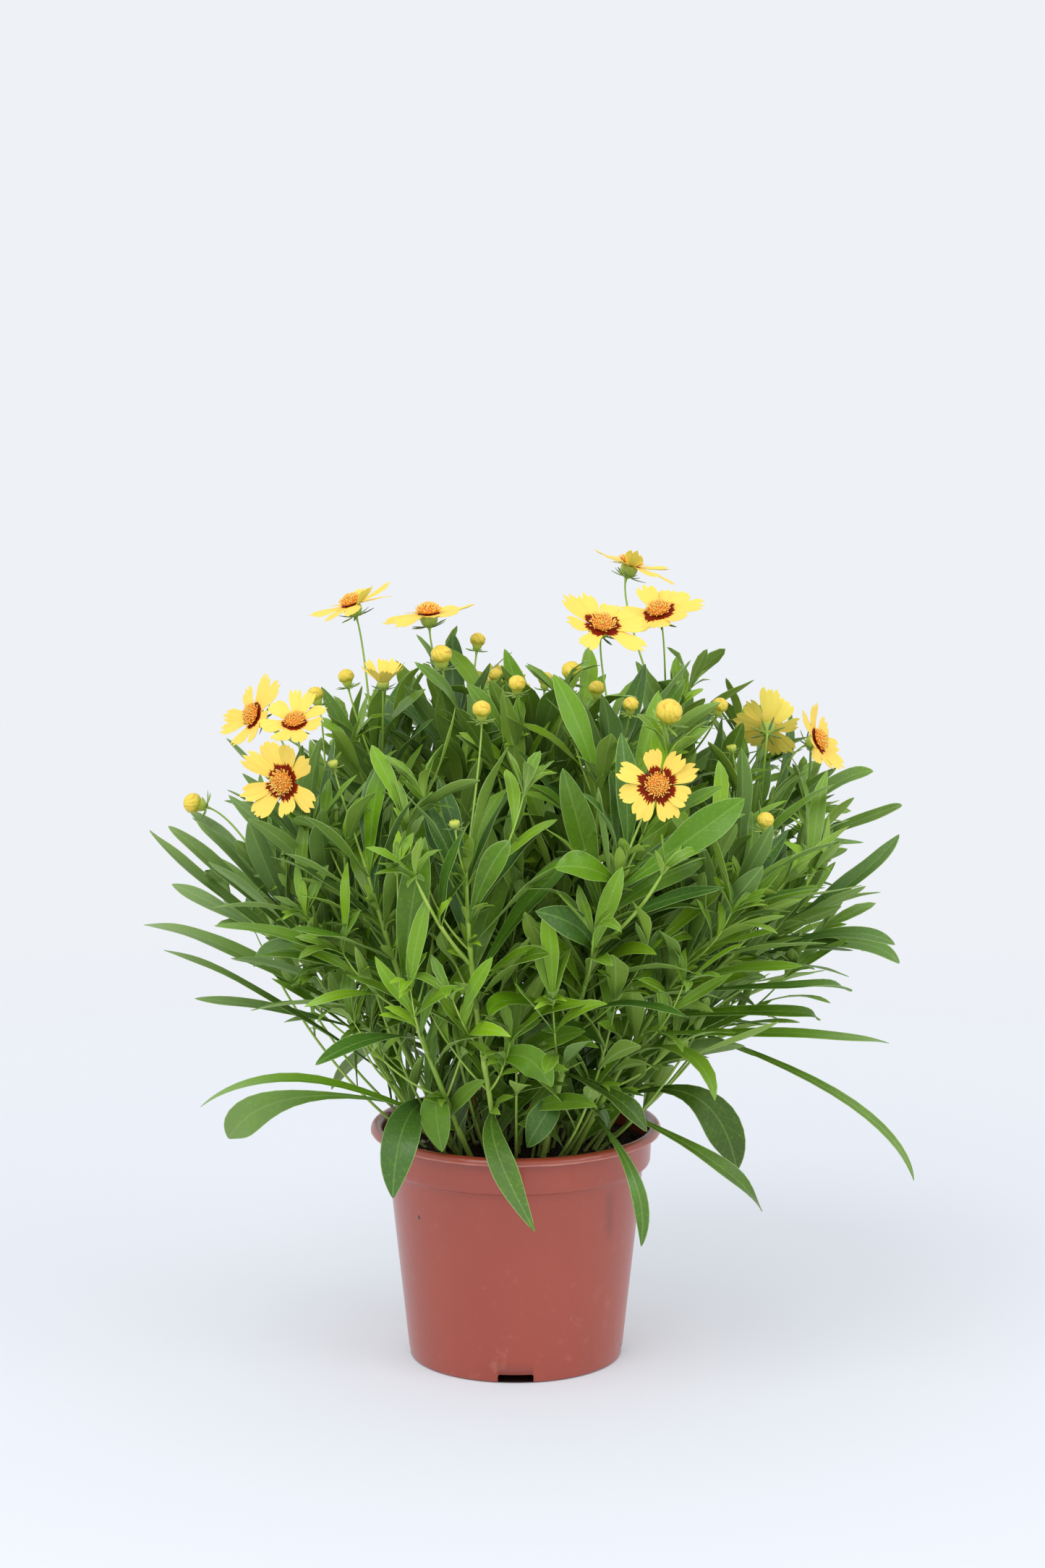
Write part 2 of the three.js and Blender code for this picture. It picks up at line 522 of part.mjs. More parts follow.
// Rays: toothed tips round a flat hub, each ray arched over a raised middle. Where two rays
// crowd each other, both are narrower, and each keeps to its own share of the gap.
function makeRays(bloom, index) {
  const { at, face, lift, size } = bloom;
  const frame = headFrame(at, face);
  const ways = rayWays(bloom, index);
  const gaps = ways.map(({ turn }, ray) => {
    const before = ways[(ray + RAYS - 1) % RAYS].turn - (ray ? 0 : 2 * Math.PI);
    return turn - before;
  });
  const narrow = mix(1, 0.74, Math.min(1, lift / 50));
  const skin = new Skin();
  const hubTop = skin.point(frame(0, 0, RAY.thickness));
  const hubBottom = skin.point(frame(0, 0, -RAY.thickness));
  const joints = ways.map(({ turn }, ray) => {
    const heights = [RAY.thickness, -RAY.thickness];
    return heights.map((height) => skin.point(frame(RAY.hub * size, turn - gaps[ray] / 2, height)));
  });
  joints.forEach(([startTop, startBottom], ray) => {
    const [endTop, endBottom] = joints[(ray + 1) % RAYS];
    const { turn, rise, long, late } = ways[ray];
    const room = Math.min(gaps[ray], gaps[(ray + 1) % RAYS]) / ((2 * Math.PI) / RAYS);
    const half = RAY.halfWidth * size * narrow * Math.min(1, Math.max(0.5, room * 1.08));
    const point = (along, side, height) => {
      const out = RAY.hub * size * 0.9 + along * long * Math.cos(rise);
      const across = side * half;
      const arch = (late > 1 ? 0.8 : 2.2) * size * (along - 0.35) ** 2;
      const up = along ** late * long * Math.sin(rise) + height - arch;
      const share = RAY.room * gaps[side < 0 ? ray : (ray + 1) % RAYS];
      const swing = Math.max(-share, Math.min(share, Math.atan2(across, out)));
      return skin.point(frame(Math.hypot(out, across), turn + swing, up));
    };
    const edge = RAY_EDGE.map(([along, side]) => point(along, side, -0.3));
    const top = point(0.45, 0, RAY.thickness + 0.5);
    const bottom = point(0.45, 0, -RAY.thickness + 0.1);
    const upper = [startTop, ...edge, endTop];
    const lower = [startBottom, ...edge, endBottom];
    for (let i = 1; i < upper.length; i += 1) {
      skin.faces.push(upper[i - 1], upper[i], top);
      skin.faces.push(lower[i], lower[i - 1], bottom);
    }
    skin.faces.push(endTop, startTop, top, startBottom, endBottom, bottom);
    skin.faces.push(hubTop, startTop, endTop, hubBottom, endBottom, startBottom);
    skin.faces.push(startTop, startBottom, edge[0], endBottom, endTop, edge[edge.length - 1]);
  });
  return skin.solid();
}

// The disc: a dome whose florets are a chequer of raised and sunken points.
function makeDisc({ at, face, lift, size }) {
  const frame = headFrame(at, face);
  const isCupped = lift > 30;
  const scale = size * (isCupped ? 0.8 : 1);
  const foot = RAY.thickness + GAP + (isCupped ? 0.6 : 0);
  const levels = [[0.66, 0], [1, 0.3], [0.9, 0.66], [0.56, 0.94]];
  const rings = levels.map(([out, up], level) => Array.from({ length: DISC.sides }, (_, side) => {
    const bump = level && (side + level) % 2 ? DISC.relief : -DISC.relief * Math.sign(level);
    const angle = (2 * Math.PI * side) / DISC.sides;
    return frame((out * DISC.radius + bump) * scale, angle, foot + (up * DISC.height + bump) * scale);
  }));
  return loft([...rings, [frame(0, 0, foot + DISC.height * scale)]]);
}

// The rings of a closed bud: a ribbed globe that ends in a point.
function budRings({ at, face, size }, foot) {
  const frame = headFrame(at, face);
  const levels = [[0.62, 0], [1, 0.36], [0.82, 0.78]];
  const rings = levels.map(([out, up]) => Array.from({ length: RAYS }, (_, side) => {
    const radius = (out * BUD.radius + (side % 2 ? BUD.relief : -BUD.relief)) * size;
    return frame(radius, (2 * Math.PI * side) / RAYS, foot + up * BUD.height * size);
  }));
  return [...rings, [frame(0, 0, foot + BUD.height * size)]];
}

// How deep the cup under a head is: a closed bud sits in a shallow one.
const cupDepth = ({ isClosed, size }) => (isClosed ? CUP.closedDepth : CUP.depth) * size;

// The arch of the stalk under a head: it leaves its stem and bends to the way the head faces.
function stalkArch(curve, head, top) {
  const { from, at, face } = head;
  const axis = toVector(face).normalize();
  const start = curve.getPoint(from);
  const end = toVector(at).addScaledVector(axis, top - cupDepth(head));
  const control = end.clone().addScaledVector(axis, -Math.min(STALK.neck, 0.42 * end.distanceTo(start)));
  return new THREE.QuadraticBezierCurve3(start, control, end);
}

// The cup on the end of a stalk, with its ring of narrow outer bracts; gives back its brim.
function addCup(skin, stalkEnd, head, index, top) {
  const { at, face, size } = head;
  const depth = cupDepth(head) / size;
  const frame = headFrame(at, face);
  const add = (radius, angle, height) => skin.point(frame(radius * size, angle, top + height * size));
  const brim = [];
  const waist = [];
  const tips = [];
  for (let i = 0; i < RAYS; i += 1) {
    const angle = (2 * Math.PI * i) / RAYS;
    brim.push(add(CUP.radius, angle, 0));
    waist.push(add(CUP.radius * 0.62, angle, -depth * 0.68));
    const reach = CUP.bract * (0.85 + 0.3 * draw(index * 10 + i, 5));
    tips.push(add(reach, angle + Math.PI / RAYS, -depth * (0.35 + 0.5 * draw(index * 10 + i, 6))));
  }
  for (let i = 0; i < RAYS; i += 1) {
    const next = (i + 1) % RAYS;
    const foot = stalkEnd[Math.floor((i + 1) / 2) % stalkEnd.length];
    skin.faces.push(waist[i], tips[i], waist[next], foot, tips[i], waist[i], foot, waist[next], tips[i]);
    if (i % 2 === 0) skin.faces.push(foot, stalkEnd[(i / 2 + 1) % stalkEnd.length], waist[next]);
  }
  return skin.band(waist, brim);
}

// ---------------------------------------------------------------- growing the plant

const placed = []; // every solid put down so far, with its box

function put(solid) {
  const { min, max } = solid.boundingBox();
  placed.push({ solid, box: new THREE.Box3(toVector(min), toVector(max)) });
  return solid;
}

// Whether a slightly swollen copy of a new solid stays clear of all but the rod it grows on.
function isClear(swollen, mother) {
  const { min, max } = swollen.boundingBox();
  const box = new THREE.Box3(toVector(min), toVector(max));
  return placed.every((other) => other.solid === mother || !other.box.intersectsBox(box)
    || swollen.intersect(other.solid).isEmpty());
}

// Try number k of a growth: swung about its stem by more each time, then shortened.
function swing(point, base, axis, step, k) {
  const turn = (k % 2 ? 1 : -1) * Math.ceil((k % 9) / 2) * step;
  const length = 1 - 0.2 * Math.floor(k / 9);
  return point.clone().sub(base).applyAxisAngle(axis, radians(turn)).multiplyScalar(length).add(base);
}

// Whether a point is inside the rounded outline that the plant's leaves fill.
function isInOutline({ x, y, z }) {
  const across = (x - OUTLINE.x) / OUTLINE.halfWidth;
  const shares = [across, y / OUTLINE.halfDepth, (z - POT.height) / OUTLINE.height];
  return shares.reduce((sum, share) => sum + Math.abs(share) ** 3, 0) < 1;
}

// The first clear way for a leaf to grow, or null where there is none.
function findLeaf(limb, { from, side, via, tip, width, face, step, isPlaced }) {
  const base = limb.curve.getPoint(from);
  const axis = limb.curve.getTangent(from);
  const port = portAt(limb, from, side);
  for (let k = 0; k < TRIES; k += 1) {
    const curve = archThrough(base, swing(via, base, axis, step, k), swing(tip, base, axis, step, k));
    const leaf = { curve, port, width, face: swing(face, new THREE.Vector3(), axis, step, k) };
    const isInside = isPlaced || isInOutline(curve.v2);
    const isOffStem = isInside && bladeEnd(leaf, SWELL).intersect(limb.rod).isEmpty();
    if (isOffStem && isClear(blade(leaf, SWELL), limb.rod)) {
      put(blade(leaf));
      return leaf;
    }
  }
  return null;
}

// One leaf of a pair by rule: long, broad and drooping low down, short and upright on top.
function ruleLeaf(limb, from, height, side, seed) {
  const { curve, turn } = limb;
  const angle = turn + (side * Math.PI) / 2 + 0.5 * (draw(seed, 16) - 0.5);
  const out = sideways(curve, from, angle);
  const axis = curve.getTangent(from);
  const length = mix(104, 76, height) * (0.82 + 0.32 * draw(seed, 11));
  const spread = radians(mix(48, 24, height) + 16 * (draw(seed, 12) - 0.5));
  const way = axis.clone().multiplyScalar(Math.cos(spread)).addScaledVector(out, Math.sin(spread));
  const bend = way.clone().addScaledVector(out, 0.35 * draw(seed, 13));
  bend.z += mix(-0.4, 0.12, height) * draw(seed, 14);
  const via = curve.getPoint(from).addScaledVector(way, length / 2);
  const tip = via.clone().addScaledVector(bend.normalize(), length / 2);
  const width = length * (mix(0.16, 0.2, height) + 0.06 * draw(seed, 15));
  return { from, side, via, tip, width, face: axis, step: 11 };
}

// The side of a limb, from 0 to 3, that faces nearest to a point.
function nearestSide(limb, from, target) {
  const toward = target.clone().sub(limb.curve.getPoint(from));
  const reach = (side) => sideways(limb.curve, from, limb.turn + (side * Math.PI) / 2).dot(toward);
  return [0, 1, 2, 3].reduce((best, side) => (reach(side) > reach(best) ? side : best));
}

// Notes that something grows from a side of a limb, unless that side is taken there.
function bud(limb, from, side, what) {
  const spacing = (3 * NODE_HALF) / limb.curve.getLength();
  let node = limb.nodes.find((other) => Math.abs(other.from - from) < spacing);
  if (!node) {
    node = { from, sides: [] };
    limb.nodes.push(node);
  }
  if (!node.sides[side]) node.sides[side] = what;
}

// A side shoot from the main stem, with its own pairs of leaves.
function findShoot(stem, from, side, seed) {
  const { curve } = stem;
  const base = curve.getPoint(from);
  const axis = curve.getTangent(from);
  const out = sideways(curve, from, stem.turn + (side * Math.PI) / 2);
  const spread = radians(SHOOT.spread);
  const way = axis.clone().multiplyScalar(Math.cos(spread)).addScaledVector(out, Math.sin(spread));
  const via = base.clone().addScaledVector(way, SHOOT.length / 2);
  const tip = via.clone().addScaledVector(way.clone().setZ(way.z + 0.35).normalize(), SHOOT.length / 2);
  const port = portAt(stem, from, side);
  for (let k = 0; k < TRIES; k += 1) {
    const arch = archThrough(base, swing(via, base, axis, 9, k), swing(tip, base, axis, 9, k));
    const limb = { curve: arch, size: SHOOT, turn: draw(seed, 22), nodes: [] };
    if (isClear(rod(limb, 1.2, SHOOT_PAIRS, port), stem.rod)) {
      return { ...limb, rod: put(rod(limb, 0, [...SHOOT_PAIRS, 1], port)) };
    }
  }
  return null;
}

// Puts a limb's skin on, from the ring it starts at, with everything that grows on it.
function skinLimb(skin, start, limb) {
  const { curve, size, turn } = limb;
  const half = NODE_HALF / curve.getLength();
  const ringAt = (t) => skin.ring(limbRing(curve, t, mix(size.footRadius, size.topRadius, t), turn));
  const nodes = [...limb.nodes].sort((a, b) => a.from - b.from);
  let low = start || ringAt(0);
  if (!start) skin.close([...low].reverse());
  if (!nodes.length || nodes[0].from > size.bend + half) low = skin.band(low, ringAt(size.bend));
  nodes.forEach(({ from, sides }) => {
    const foot = skin.band(low, ringAt(from - half));
    low = ringAt(from + half);
    for (let side = 0; side < 4; side += 1) {
      const next = (side + 1) % 4;
      const port = [foot[next], low[next], low[side], foot[side]];
      if (sides[side]) sides[side](skin, port);
      else skin.close(port);
    }
  });
  if (limb.end || !nodes.length) low = skin.band(low, ringAt(1));
  if (limb.end) limb.end(skin, low);
  else skin.close(low);
}

const skinLeaf = (leaf) => (skin, port) => {
  const [first, ...others] = bladeShares(leaf).map((s) => skin.ring(bladeRing(leaf, s)));
  const last = others.reduce((low, high) => skin.band(low, high, true), skin.band(port, first));
  skin.band(last, [skin.point(leaf.curve.getPoint(1))]);
};

const skinShoot = (shoot) => (skin, port) => skinLimb(skin, port, shoot);

const skinHead = (arch, head, index, top, rings) => (skin, port) => {
  const radiusAt = (t) => mix(STALK.footRadius, STALK.topRadius, t);
  const stalk = STALK.shares.map((t) => skin.ring(limbRing(arch, t, radiusAt(t), 0)));
  const frame = headFrame(head.at, head.face);
  const neck = top - cupDepth(head);
  const corners = [0, 1, 2, 3].map((i) => frame(STALK.topRadius, (i * Math.PI) / 2, neck));
  const end = [...stalk, skin.ring(corners)].reduce((low, high) => skin.band(low, high), port);
  const brim = addCup(skin, end, head, index, top);
  skin.close(rings.reduce((low, ring) => skin.band(low, skin.ring(ring)), brim));
};

const stems = STEMS.map(({ root, via, top }, i) => {
  const start = new THREE.Vector3(root[0], root[1], ROOT_LEVEL);
  const curve = archThrough(start, toVector(via), toVector(top));
  const name = `leafy_stem_${String(i + 1).padStart(2, '0')}`;
  const limb = { name, curve, size: STEM, turn: i * 0.7, nodes: [] };
  return { ...limb, rod: put(rod(limb, 0, [0, STEM.bend, ...PAIR_PLACES, 1])) };
});

const pot = put(makePot());
const soil = put(makeSoil(stems));

// Heads stand where light reaches them: leaves keep out of the way a head faces and of its front.
function keepLight({ at, face, size }, reach) {
  [face, FRONT].forEach((way) => {
    const frame = headFrame(at, way);
    const ring = (height) => [0, 1, 2, 3].map((i) => frame(reach * size, (Math.PI * i) / 2, height));
    put(loft([ring(LIGHT.from), ring(LIGHT.to)]));
  });
}

function addHead(head, index, top, reach, rings = []) {
  const stem = stems[head.stem];
  const arch = stalkArch(stem.curve, head, top);
  const side = nearestSide(stem, head.from, arch.getPoint(0.5));
  const stalk = { curve: arch, size: STALK, turn: 0 };
  put(rod(stalk, 0, [...STALK.shares, 1], portAt(stem, head.from, side)));
  const frame = headFrame(head.at, head.face);
  keepLight(head, reach);
  const depth = cupDepth(head) / head.size;
  const cone = [[1, -depth], [CUP.bract, -depth * 0.6], [CUP.radius, 0]];
  put(loft(cone.map(([radius, height]) => Array.from({ length: RAYS }, (_, i) => (
    frame(radius * head.size, (2 * Math.PI * i) / RAYS, top + height * head.size))))));
  const grow = skinHead(arch, head, index, top, rings);
  if (head.from === 1) stem.end = grow;
  else bud(stem, head.from, side, grow);
}

const blooms = BLOOMS.map((bloom, i) => {
  addHead(bloom, i, -RAY.thickness - GAP, LIGHT.bloom);
  return { rays: put(makeRays(bloom, i)), disc: put(makeDisc(bloom)) };
});
const buds = BUDS.map((closed, i) => {
  addHead({ ...closed, size: closed.size * 0.86, isClosed: true }, i + 20, 0, LIGHT.bud);
  return put(loft(budRings(closed, GAP)));
});
GREEN_BUDS.forEach((green, i) => addHead(green, i + 40, 0, LIGHT.bud, budRings(green, 0.4).slice(1)));

PLACED.forEach(({ stem: i, from, via, tip, width, face }) => {
  const stem = stems[i];
  const side = nearestSide(stem, from, toVector(via));
  const places = { via: toVector(via), tip: toVector(tip), face: toVector(face) };
  const leaf = findLeaf(stem, { ...places, from, side, width, step: 4, isPlaced: true });
  if (leaf) bud(stem, from, side, skinLeaf(leaf));
});

const shoots = stems.flatMap((stem, i) => {
  const side = i % 4;
  const shoot = findShoot(stem, SHOOT_PLACE, side, i);
  if (shoot) bud(stem, SHOOT_PLACE, side, skinShoot(shoot));
  return shoot ? [shoot] : [];
});

function growPair(limb, from, height, side, seed) {
  [side % 4, (side + 2) % 4].forEach((half, i) => {
    const spacing = (3 * NODE_HALF) / limb.curve.getLength();
    const near = limb.nodes.find((node) => Math.abs(node.from - from) < spacing);
    if (near && near.sides[half]) return;
    const leaf = findLeaf(limb, ruleLeaf(limb, near ? near.from : from, height, half, seed + i));
    if (leaf) bud(limb, from, half, skinLeaf(leaf));
  });
}

[...PAIR_PLACES].reverse().forEach((from, pair) => stems.forEach((stem, i) => {
  growPair(stem, from, 1 - pair / (PAIR_PLACES.length - 1), pair, i * 100 + pair * 2);
}));
shoots.forEach((shoot, i) => SHOOT_PAIRS.forEach((from, pair) => {
  growPair(shoot, from, 0.7 + 0.3 * pair, pair, 5000 + i * 100 + pair * 2);
}));

// ---------------------------------------------------------------- named pieces

const finish = (color, roughness) => new THREE.MeshStandardMaterial({ color, roughness, metalness: 0 });
const FINISHES = {
  pot: finish(0xa8553f, 0.42),
  soil: finish(0x2e211a, 0.95),
  green: finish(0x4f8a2c, 0.6),
  rays: finish(0xffe34d, 0.55),
  disc: finish(0xe8972b, 0.8),
  bud: finish(0xf0c234, 0.6),
};

function pieceFrom(name, solid, material) {
  const { vertProperties, triVerts } = solid.getMesh();
  const geometry = new THREE.BufferGeometry();
  geometry.setAttribute('position', new THREE.BufferAttribute(new Float32Array(vertProperties), 3));
  geometry.setIndex(new THREE.BufferAttribute(new Uint32Array(triVerts), 1));
  const mesh = new THREE.Mesh(geometry, material);
  mesh.name = name;
  return mesh;
}

function leafySolid(stem) {
  const skin = new Skin();
  skinLimb(skin, null, stem);
  return skin.solid();
}

const numbered = (word, i) => `${word}_${String(i + 1).padStart(2, '0')}`;
const group = new THREE.Group();
group.name = 'coreopsis_in_pot';
group.add(pieceFrom('pot', pot, FINISHES.pot));
group.add(pieceFrom('soil', soil, FINISHES.soil));
stems.forEach((stem) => group.add(pieceFrom(stem.name, leafySolid(stem), FINISHES.green)));
blooms.forEach((bloom, i) => {
  group.add(pieceFrom(numbered('rays', i), bloom.rays, FINISHES.rays));
  group.add(pieceFrom(numbered('disc', i), bloom.disc, FINISHES.disc));
});
buds.forEach((closed, i) => group.add(pieceFrom(numbered('bud', i), closed, FINISHES.bud)));

export default group;
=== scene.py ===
# A large-flowered coreopsis in its nursery pot. Sizes are millimetres until they reach a mesh.
import math

import bpy
import numpy as np
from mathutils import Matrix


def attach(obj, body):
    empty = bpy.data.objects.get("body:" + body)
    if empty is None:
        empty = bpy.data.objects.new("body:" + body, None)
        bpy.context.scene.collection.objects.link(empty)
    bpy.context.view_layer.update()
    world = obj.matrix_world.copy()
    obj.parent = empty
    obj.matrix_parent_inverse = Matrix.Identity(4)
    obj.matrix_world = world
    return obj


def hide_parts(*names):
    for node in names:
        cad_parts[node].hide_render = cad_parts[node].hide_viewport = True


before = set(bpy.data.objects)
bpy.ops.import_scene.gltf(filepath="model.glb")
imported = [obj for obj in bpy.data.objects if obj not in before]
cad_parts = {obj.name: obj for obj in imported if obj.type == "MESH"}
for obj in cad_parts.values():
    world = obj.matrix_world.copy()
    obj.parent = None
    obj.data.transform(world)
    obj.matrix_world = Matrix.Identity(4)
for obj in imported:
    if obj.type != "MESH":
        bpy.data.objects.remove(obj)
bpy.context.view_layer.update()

# ---------------------------------------------------------------------------------- camera
# A long portrait lens stands two and a half metres in front of the plant, a little above it, and
# looks down on it by some ten degrees.

CAMERA_AT, CAMERA_TILT = (0.0044, -2.477, 0.8), 80.37  # metres, and degrees up from straight down
FOCAL_LENGTH, SENSOR_HEIGHT, FAR_END = 89.37, 36, 100

lens = bpy.data.cameras.new("portrait_lens")
lens.sensor_fit = "VERTICAL"
lens.sensor_height = SENSOR_HEIGHT
lens.lens = FOCAL_LENGTH
lens.clip_end = FAR_END
camera = bpy.data.objects.new("camera", lens)
camera.location = CAMERA_AT
camera.rotation_euler = (math.radians(CAMERA_TILT), 0, 0)
bpy.context.scene.collection.objects.link(camera)
bpy.context.scene.camera = camera

# ---------------------------------------------------------------------------------- studio
# Pale paper under the pot runs out into a pale surround of the same tone. A wide soft lamp
# hangs over the plant, in front and to the left, and a weaker one stands at the right.

# The dark paper under the pot is painted shade, with a painted contact shadow at the foot.
SURROUND, PAPER, UNDER_POT_SHADE = (238, 241, 246), (194, 197, 203), (60, 40, 34)
# The paper's glow is painted light that lifts the plant's shadow on it.
UNDER_POT_SHADE_REACH, FADE_REACH, PAPER_PAINTED_GLOW = (0.0665, 0.0705), (0.35, 1.5), 0.28  # reaches in metres
PAPER_RADIUS, PAPER_SIDES, PAPER_LEVEL = 1.6, 64, -0.0002
LAMP_AIM = (0, 0, 0.3)
LAMPS = [  # name, place, width, power
    ("soft_lamp", (-1.2, -2.0, 2.7), 2.6, 50),
    ("weak_lamp", (2.2, -1.4, 1.6), 1.8, 18),
]


def round_angles(count):
    """That many angles, evenly round a circle."""
    return np.linspace(0, 2 * math.pi, count, endpoint=False)


def tint(red, green, blue):
    """The linear colour of three display values from 0 to 255, by the sRGB curve."""
    shares = np.array([red, green, blue]) / 255
    linear = np.where(shares > 0.04045, ((shares + 0.055) / 1.055) ** 2.4, shares / 12.92)
    return (*(float(share) for share in linear), 1.0)


class Finish:
    """A material in the making: its methods add shader nodes and give back an output."""

    def __init__(self, name, **settings):
        self.material = bpy.data.materials.new(name)
        self.material.use_nodes = True
        self.tree = self.material.node_tree
        self.shader = self.tree.nodes["Principled BSDF"]
        self.give(**settings)

    def give(self, **settings):
        """Fills the shader's own sockets."""
        self.set(self.shader, settings)

    def set(self, node, settings):
        """Fills sockets by their name, with a value or with another node's output."""
        for name, value in settings.items():
            socket = node.inputs[name.replace("_", " ") if isinstance(name, str) else name]
            if isinstance(value, bpy.types.NodeSocket):
                self.tree.links.new(value, socket)
            else:
                socket.default_value = value

    def node(self, kind, inputs=None, **settings):
        node = self.tree.nodes.new("ShaderNode" + kind)
        for name, value in settings.items():
            setattr(node, name, value)
        self.set(node, inputs or {})
        return node

    def split(self, vector):
        """The three numbers of a vector."""
        return list(self.node("SeparateXYZ", {0: vector}).outputs)

    def mark(self, name):
        """The three numbers of a mesh attribute."""
        return self.split(self.node("Attribute", attribute_name=name).outputs["Vector"])

    def place(self):
        return self.node("TexCoord").outputs["Object"]

    def stretched(self, vector, scale):
        return self.node("Mapping", {0: vector, 3: scale}).outputs[0]

    def cloud(self, vector, scale, detail):
        """Soft noise from 0 to 1, with scale blobs to the metre."""
        return self.node("TexNoise", {"Vector": vector, "Scale": scale, "Detail": detail}).outputs["Fac"]

    def gap(self, vector, spot=(0, 0, 0)):
        """How far a place is from a spot."""
        return self.node("VectorMath", {0: vector, 1: spot}, operation="DISTANCE").outputs["Value"]

    def reckon(self, operation, first, second=0.0):
        """One step of arithmetic on numbers."""
        return self.node("Math", {0: first, 1: second}, operation=operation).outputs[0]

    def times(self, first, *others):
        """The product of two or more numbers."""
        for other in others:
            first = self.node("Math", {0: first, 1: other}, operation="MULTIPLY").outputs[0]
        return first

    def ease(self, value, low, high, start=0.0, end=1.0):
        """A soft step of value: start at low and below, end at high and above."""
        inputs = {"Value": value, 1: low, 2: high, 3: start, 4: end}
        return self.node("MapRange", inputs, interpolation_type="SMOOTHSTEP").outputs[0]

    def blend(self, share, first, second):
        """A share of the second colour over the first."""
        return self.node("Mix", {0: share, 6: first, 7: second}, data_type="RGBA").outputs[2]

    def relief(self, height, distance, strength=1.0):
        """Bumps as high as distance, in metres, where height goes from 0 to 1."""
        inputs = {"Height": height, "Distance": distance, "Strength": strength}
        self.give(Normal=self.node("Bump", inputs).outputs[0])


world = bpy.data.worlds.new("pale_surround")
world.use_nodes = True
world.node_tree.nodes["Background"].inputs[0].default_value = tint(*SURROUND)
world.node_tree.nodes["Background"].inputs[1].default_value = 1.0
bpy.context.scene.world = world
bpy.context.scene.view_settings.view_transform = "Standard"

# Under the pot the paper is painted shade: dark and without glow, so that no light leaks out of the
# notches, and dark right out to the foot's edge, which paints a contact shadow round the foot.
pale_paper = Finish("pale_paper", Roughness=0.9, Specular_IOR_Level=0.1, Emission_Color=tint(*SURROUND))
outward = pale_paper.gap(pale_paper.place())
beyond_pot = pale_paper.ease(outward, *UNDER_POT_SHADE_REACH)
pale_paper.give(
    Base_Color=pale_paper.blend(beyond_pot, tint(*UNDER_POT_SHADE), tint(*PAPER)),
    # Beyond the pot the paper glows in the surround's colour: painted light that lifts the plant's shadow.
    Emission_Strength=pale_paper.ease(outward, *UNDER_POT_SHADE_REACH, 0, PAPER_PAINTED_GLOW),
)
clear = pale_paper.node("BsdfTransparent").outputs[0]
fade = {0: pale_paper.ease(outward, *FADE_REACH), 1: pale_paper.shader.outputs[0], 2: clear}
faded = pale_paper.node("MixShader", fade).outputs[0]
pale_paper.set(pale_paper.tree.nodes["Material Output"], {"Surface": faded})

rim_angle = round_angles(PAPER_SIDES)
paper_rim = np.stack([np.cos(rim_angle), np.sin(rim_angle), 0 * rim_angle], axis=-1) * PAPER_RADIUS
paper_mesh = bpy.data.meshes.new("paper")
paper_mesh.from_pydata((paper_rim + [0, 0, PAPER_LEVEL]).tolist(), [], [list(range(PAPER_SIDES))])
paper_mesh.materials.append(pale_paper.material)
paper = bpy.data.objects.new("paper", paper_mesh)
bpy.context.scene.collection.objects.link(paper)

for name, spot, width, power in LAMPS:
    glow = bpy.data.lights.new(name, "AREA")
    glow.shape, glow.size, glow.energy = "DISK", width, power
    lamp = bpy.data.objects.new(name, glow)
    way = np.array(LAMP_AIM) - spot
    lamp.location = spot
    tilt, turn = math.acos(way[2] / np.linalg.norm(way)), math.atan2(-way[0], way[1])
    lamp.rotation_euler = (math.pi - tilt, 0, turn)
    bpy.context.scene.collection.objects.link(lamp)

# ---------------------------------------------------------------------------------- pot
# A round nursery pot of terracotta-coloured plastic, drawn from one sheet: a tapered wall, a
# taller collar that steps out, a rolled lip with a ragged thread of flash where the sheet was
# trimmed, and a raised floor on a standing ring with notches and drain holes.

POT_PROFILE = [  # radius and height: under the floor, up the outside, round the lip, down the inside
    (4, 6), (40, 6), (64.6, 6), (66.2, 5.4), (66.5, 4.4), (66.6, 0.7), (67.2, 0), (68.6, 0), (69.5, 0.5),
    (70, 1.7), (71.5, 15), (73.6, 35), (76.3, 60), (79, 85), (81.6, 110), (83, 123.6), (83.5, 127.2),
    (83.9, 128.2), (84.8, 129), (86.3, 129.6), (87.5, 130.3), (88, 131.4), (88.2, 133), (88.5, 141),
    (88.8, 148.2), (89.1, 149.5), (90, 150.1), (92, 150.3), (94, 150.3), (94.7, 150.5), (94.9, 151),
    (94.9, 151.8), (94.6, 153), (93.8, 154.2), (92.6, 154.9), (91.2, 155.1), (89.6, 154.8), (88.2, 153.9),
    (87.2, 152.2), (86.8, 149.6), (86.4, 141), (86.1, 133), (85.8, 131.6), (84.9, 131), (83.2, 130.4),
    (82.1, 129.4), (81.6, 127.6), (81.2, 123.6), (79.6, 110), (74, 60), (69, 12), (67.6, 9), (65, 8),
    (40, 8), (4, 8),
]
POT_SIDES, COLLAR_ROW = 168, 15  # past this row of the profile the sheet is a little out of round
TRIM = {28: 0.45, 29: 1.0, 30: 0.6}  # how much a row of the profile has of the ragged flash
LEAF_SHADE_ACROSS = 0.0605  # metres to the right of the middle, where the painted shade of the hanging leaf runs down the pot
SPECKS = [((-0.062, -0.0519, 0.1055), 0.0018), ((0.0683, -0.0188, 0.0095), 0.0016)]  # metres: place, radius
NOTCH_OUTLINE = [
    (-11.5, -9), (11.5, -9), (11.5, 4.4), (11.1, 5.4), (10, 5.8), (-10, 5.8), (-11.1, 5.4), (-11.5, 4.4),
]
DRAIN_RADIUS, DRAIN_PLACE, DRAIN_SIDES = 6, 44, 24


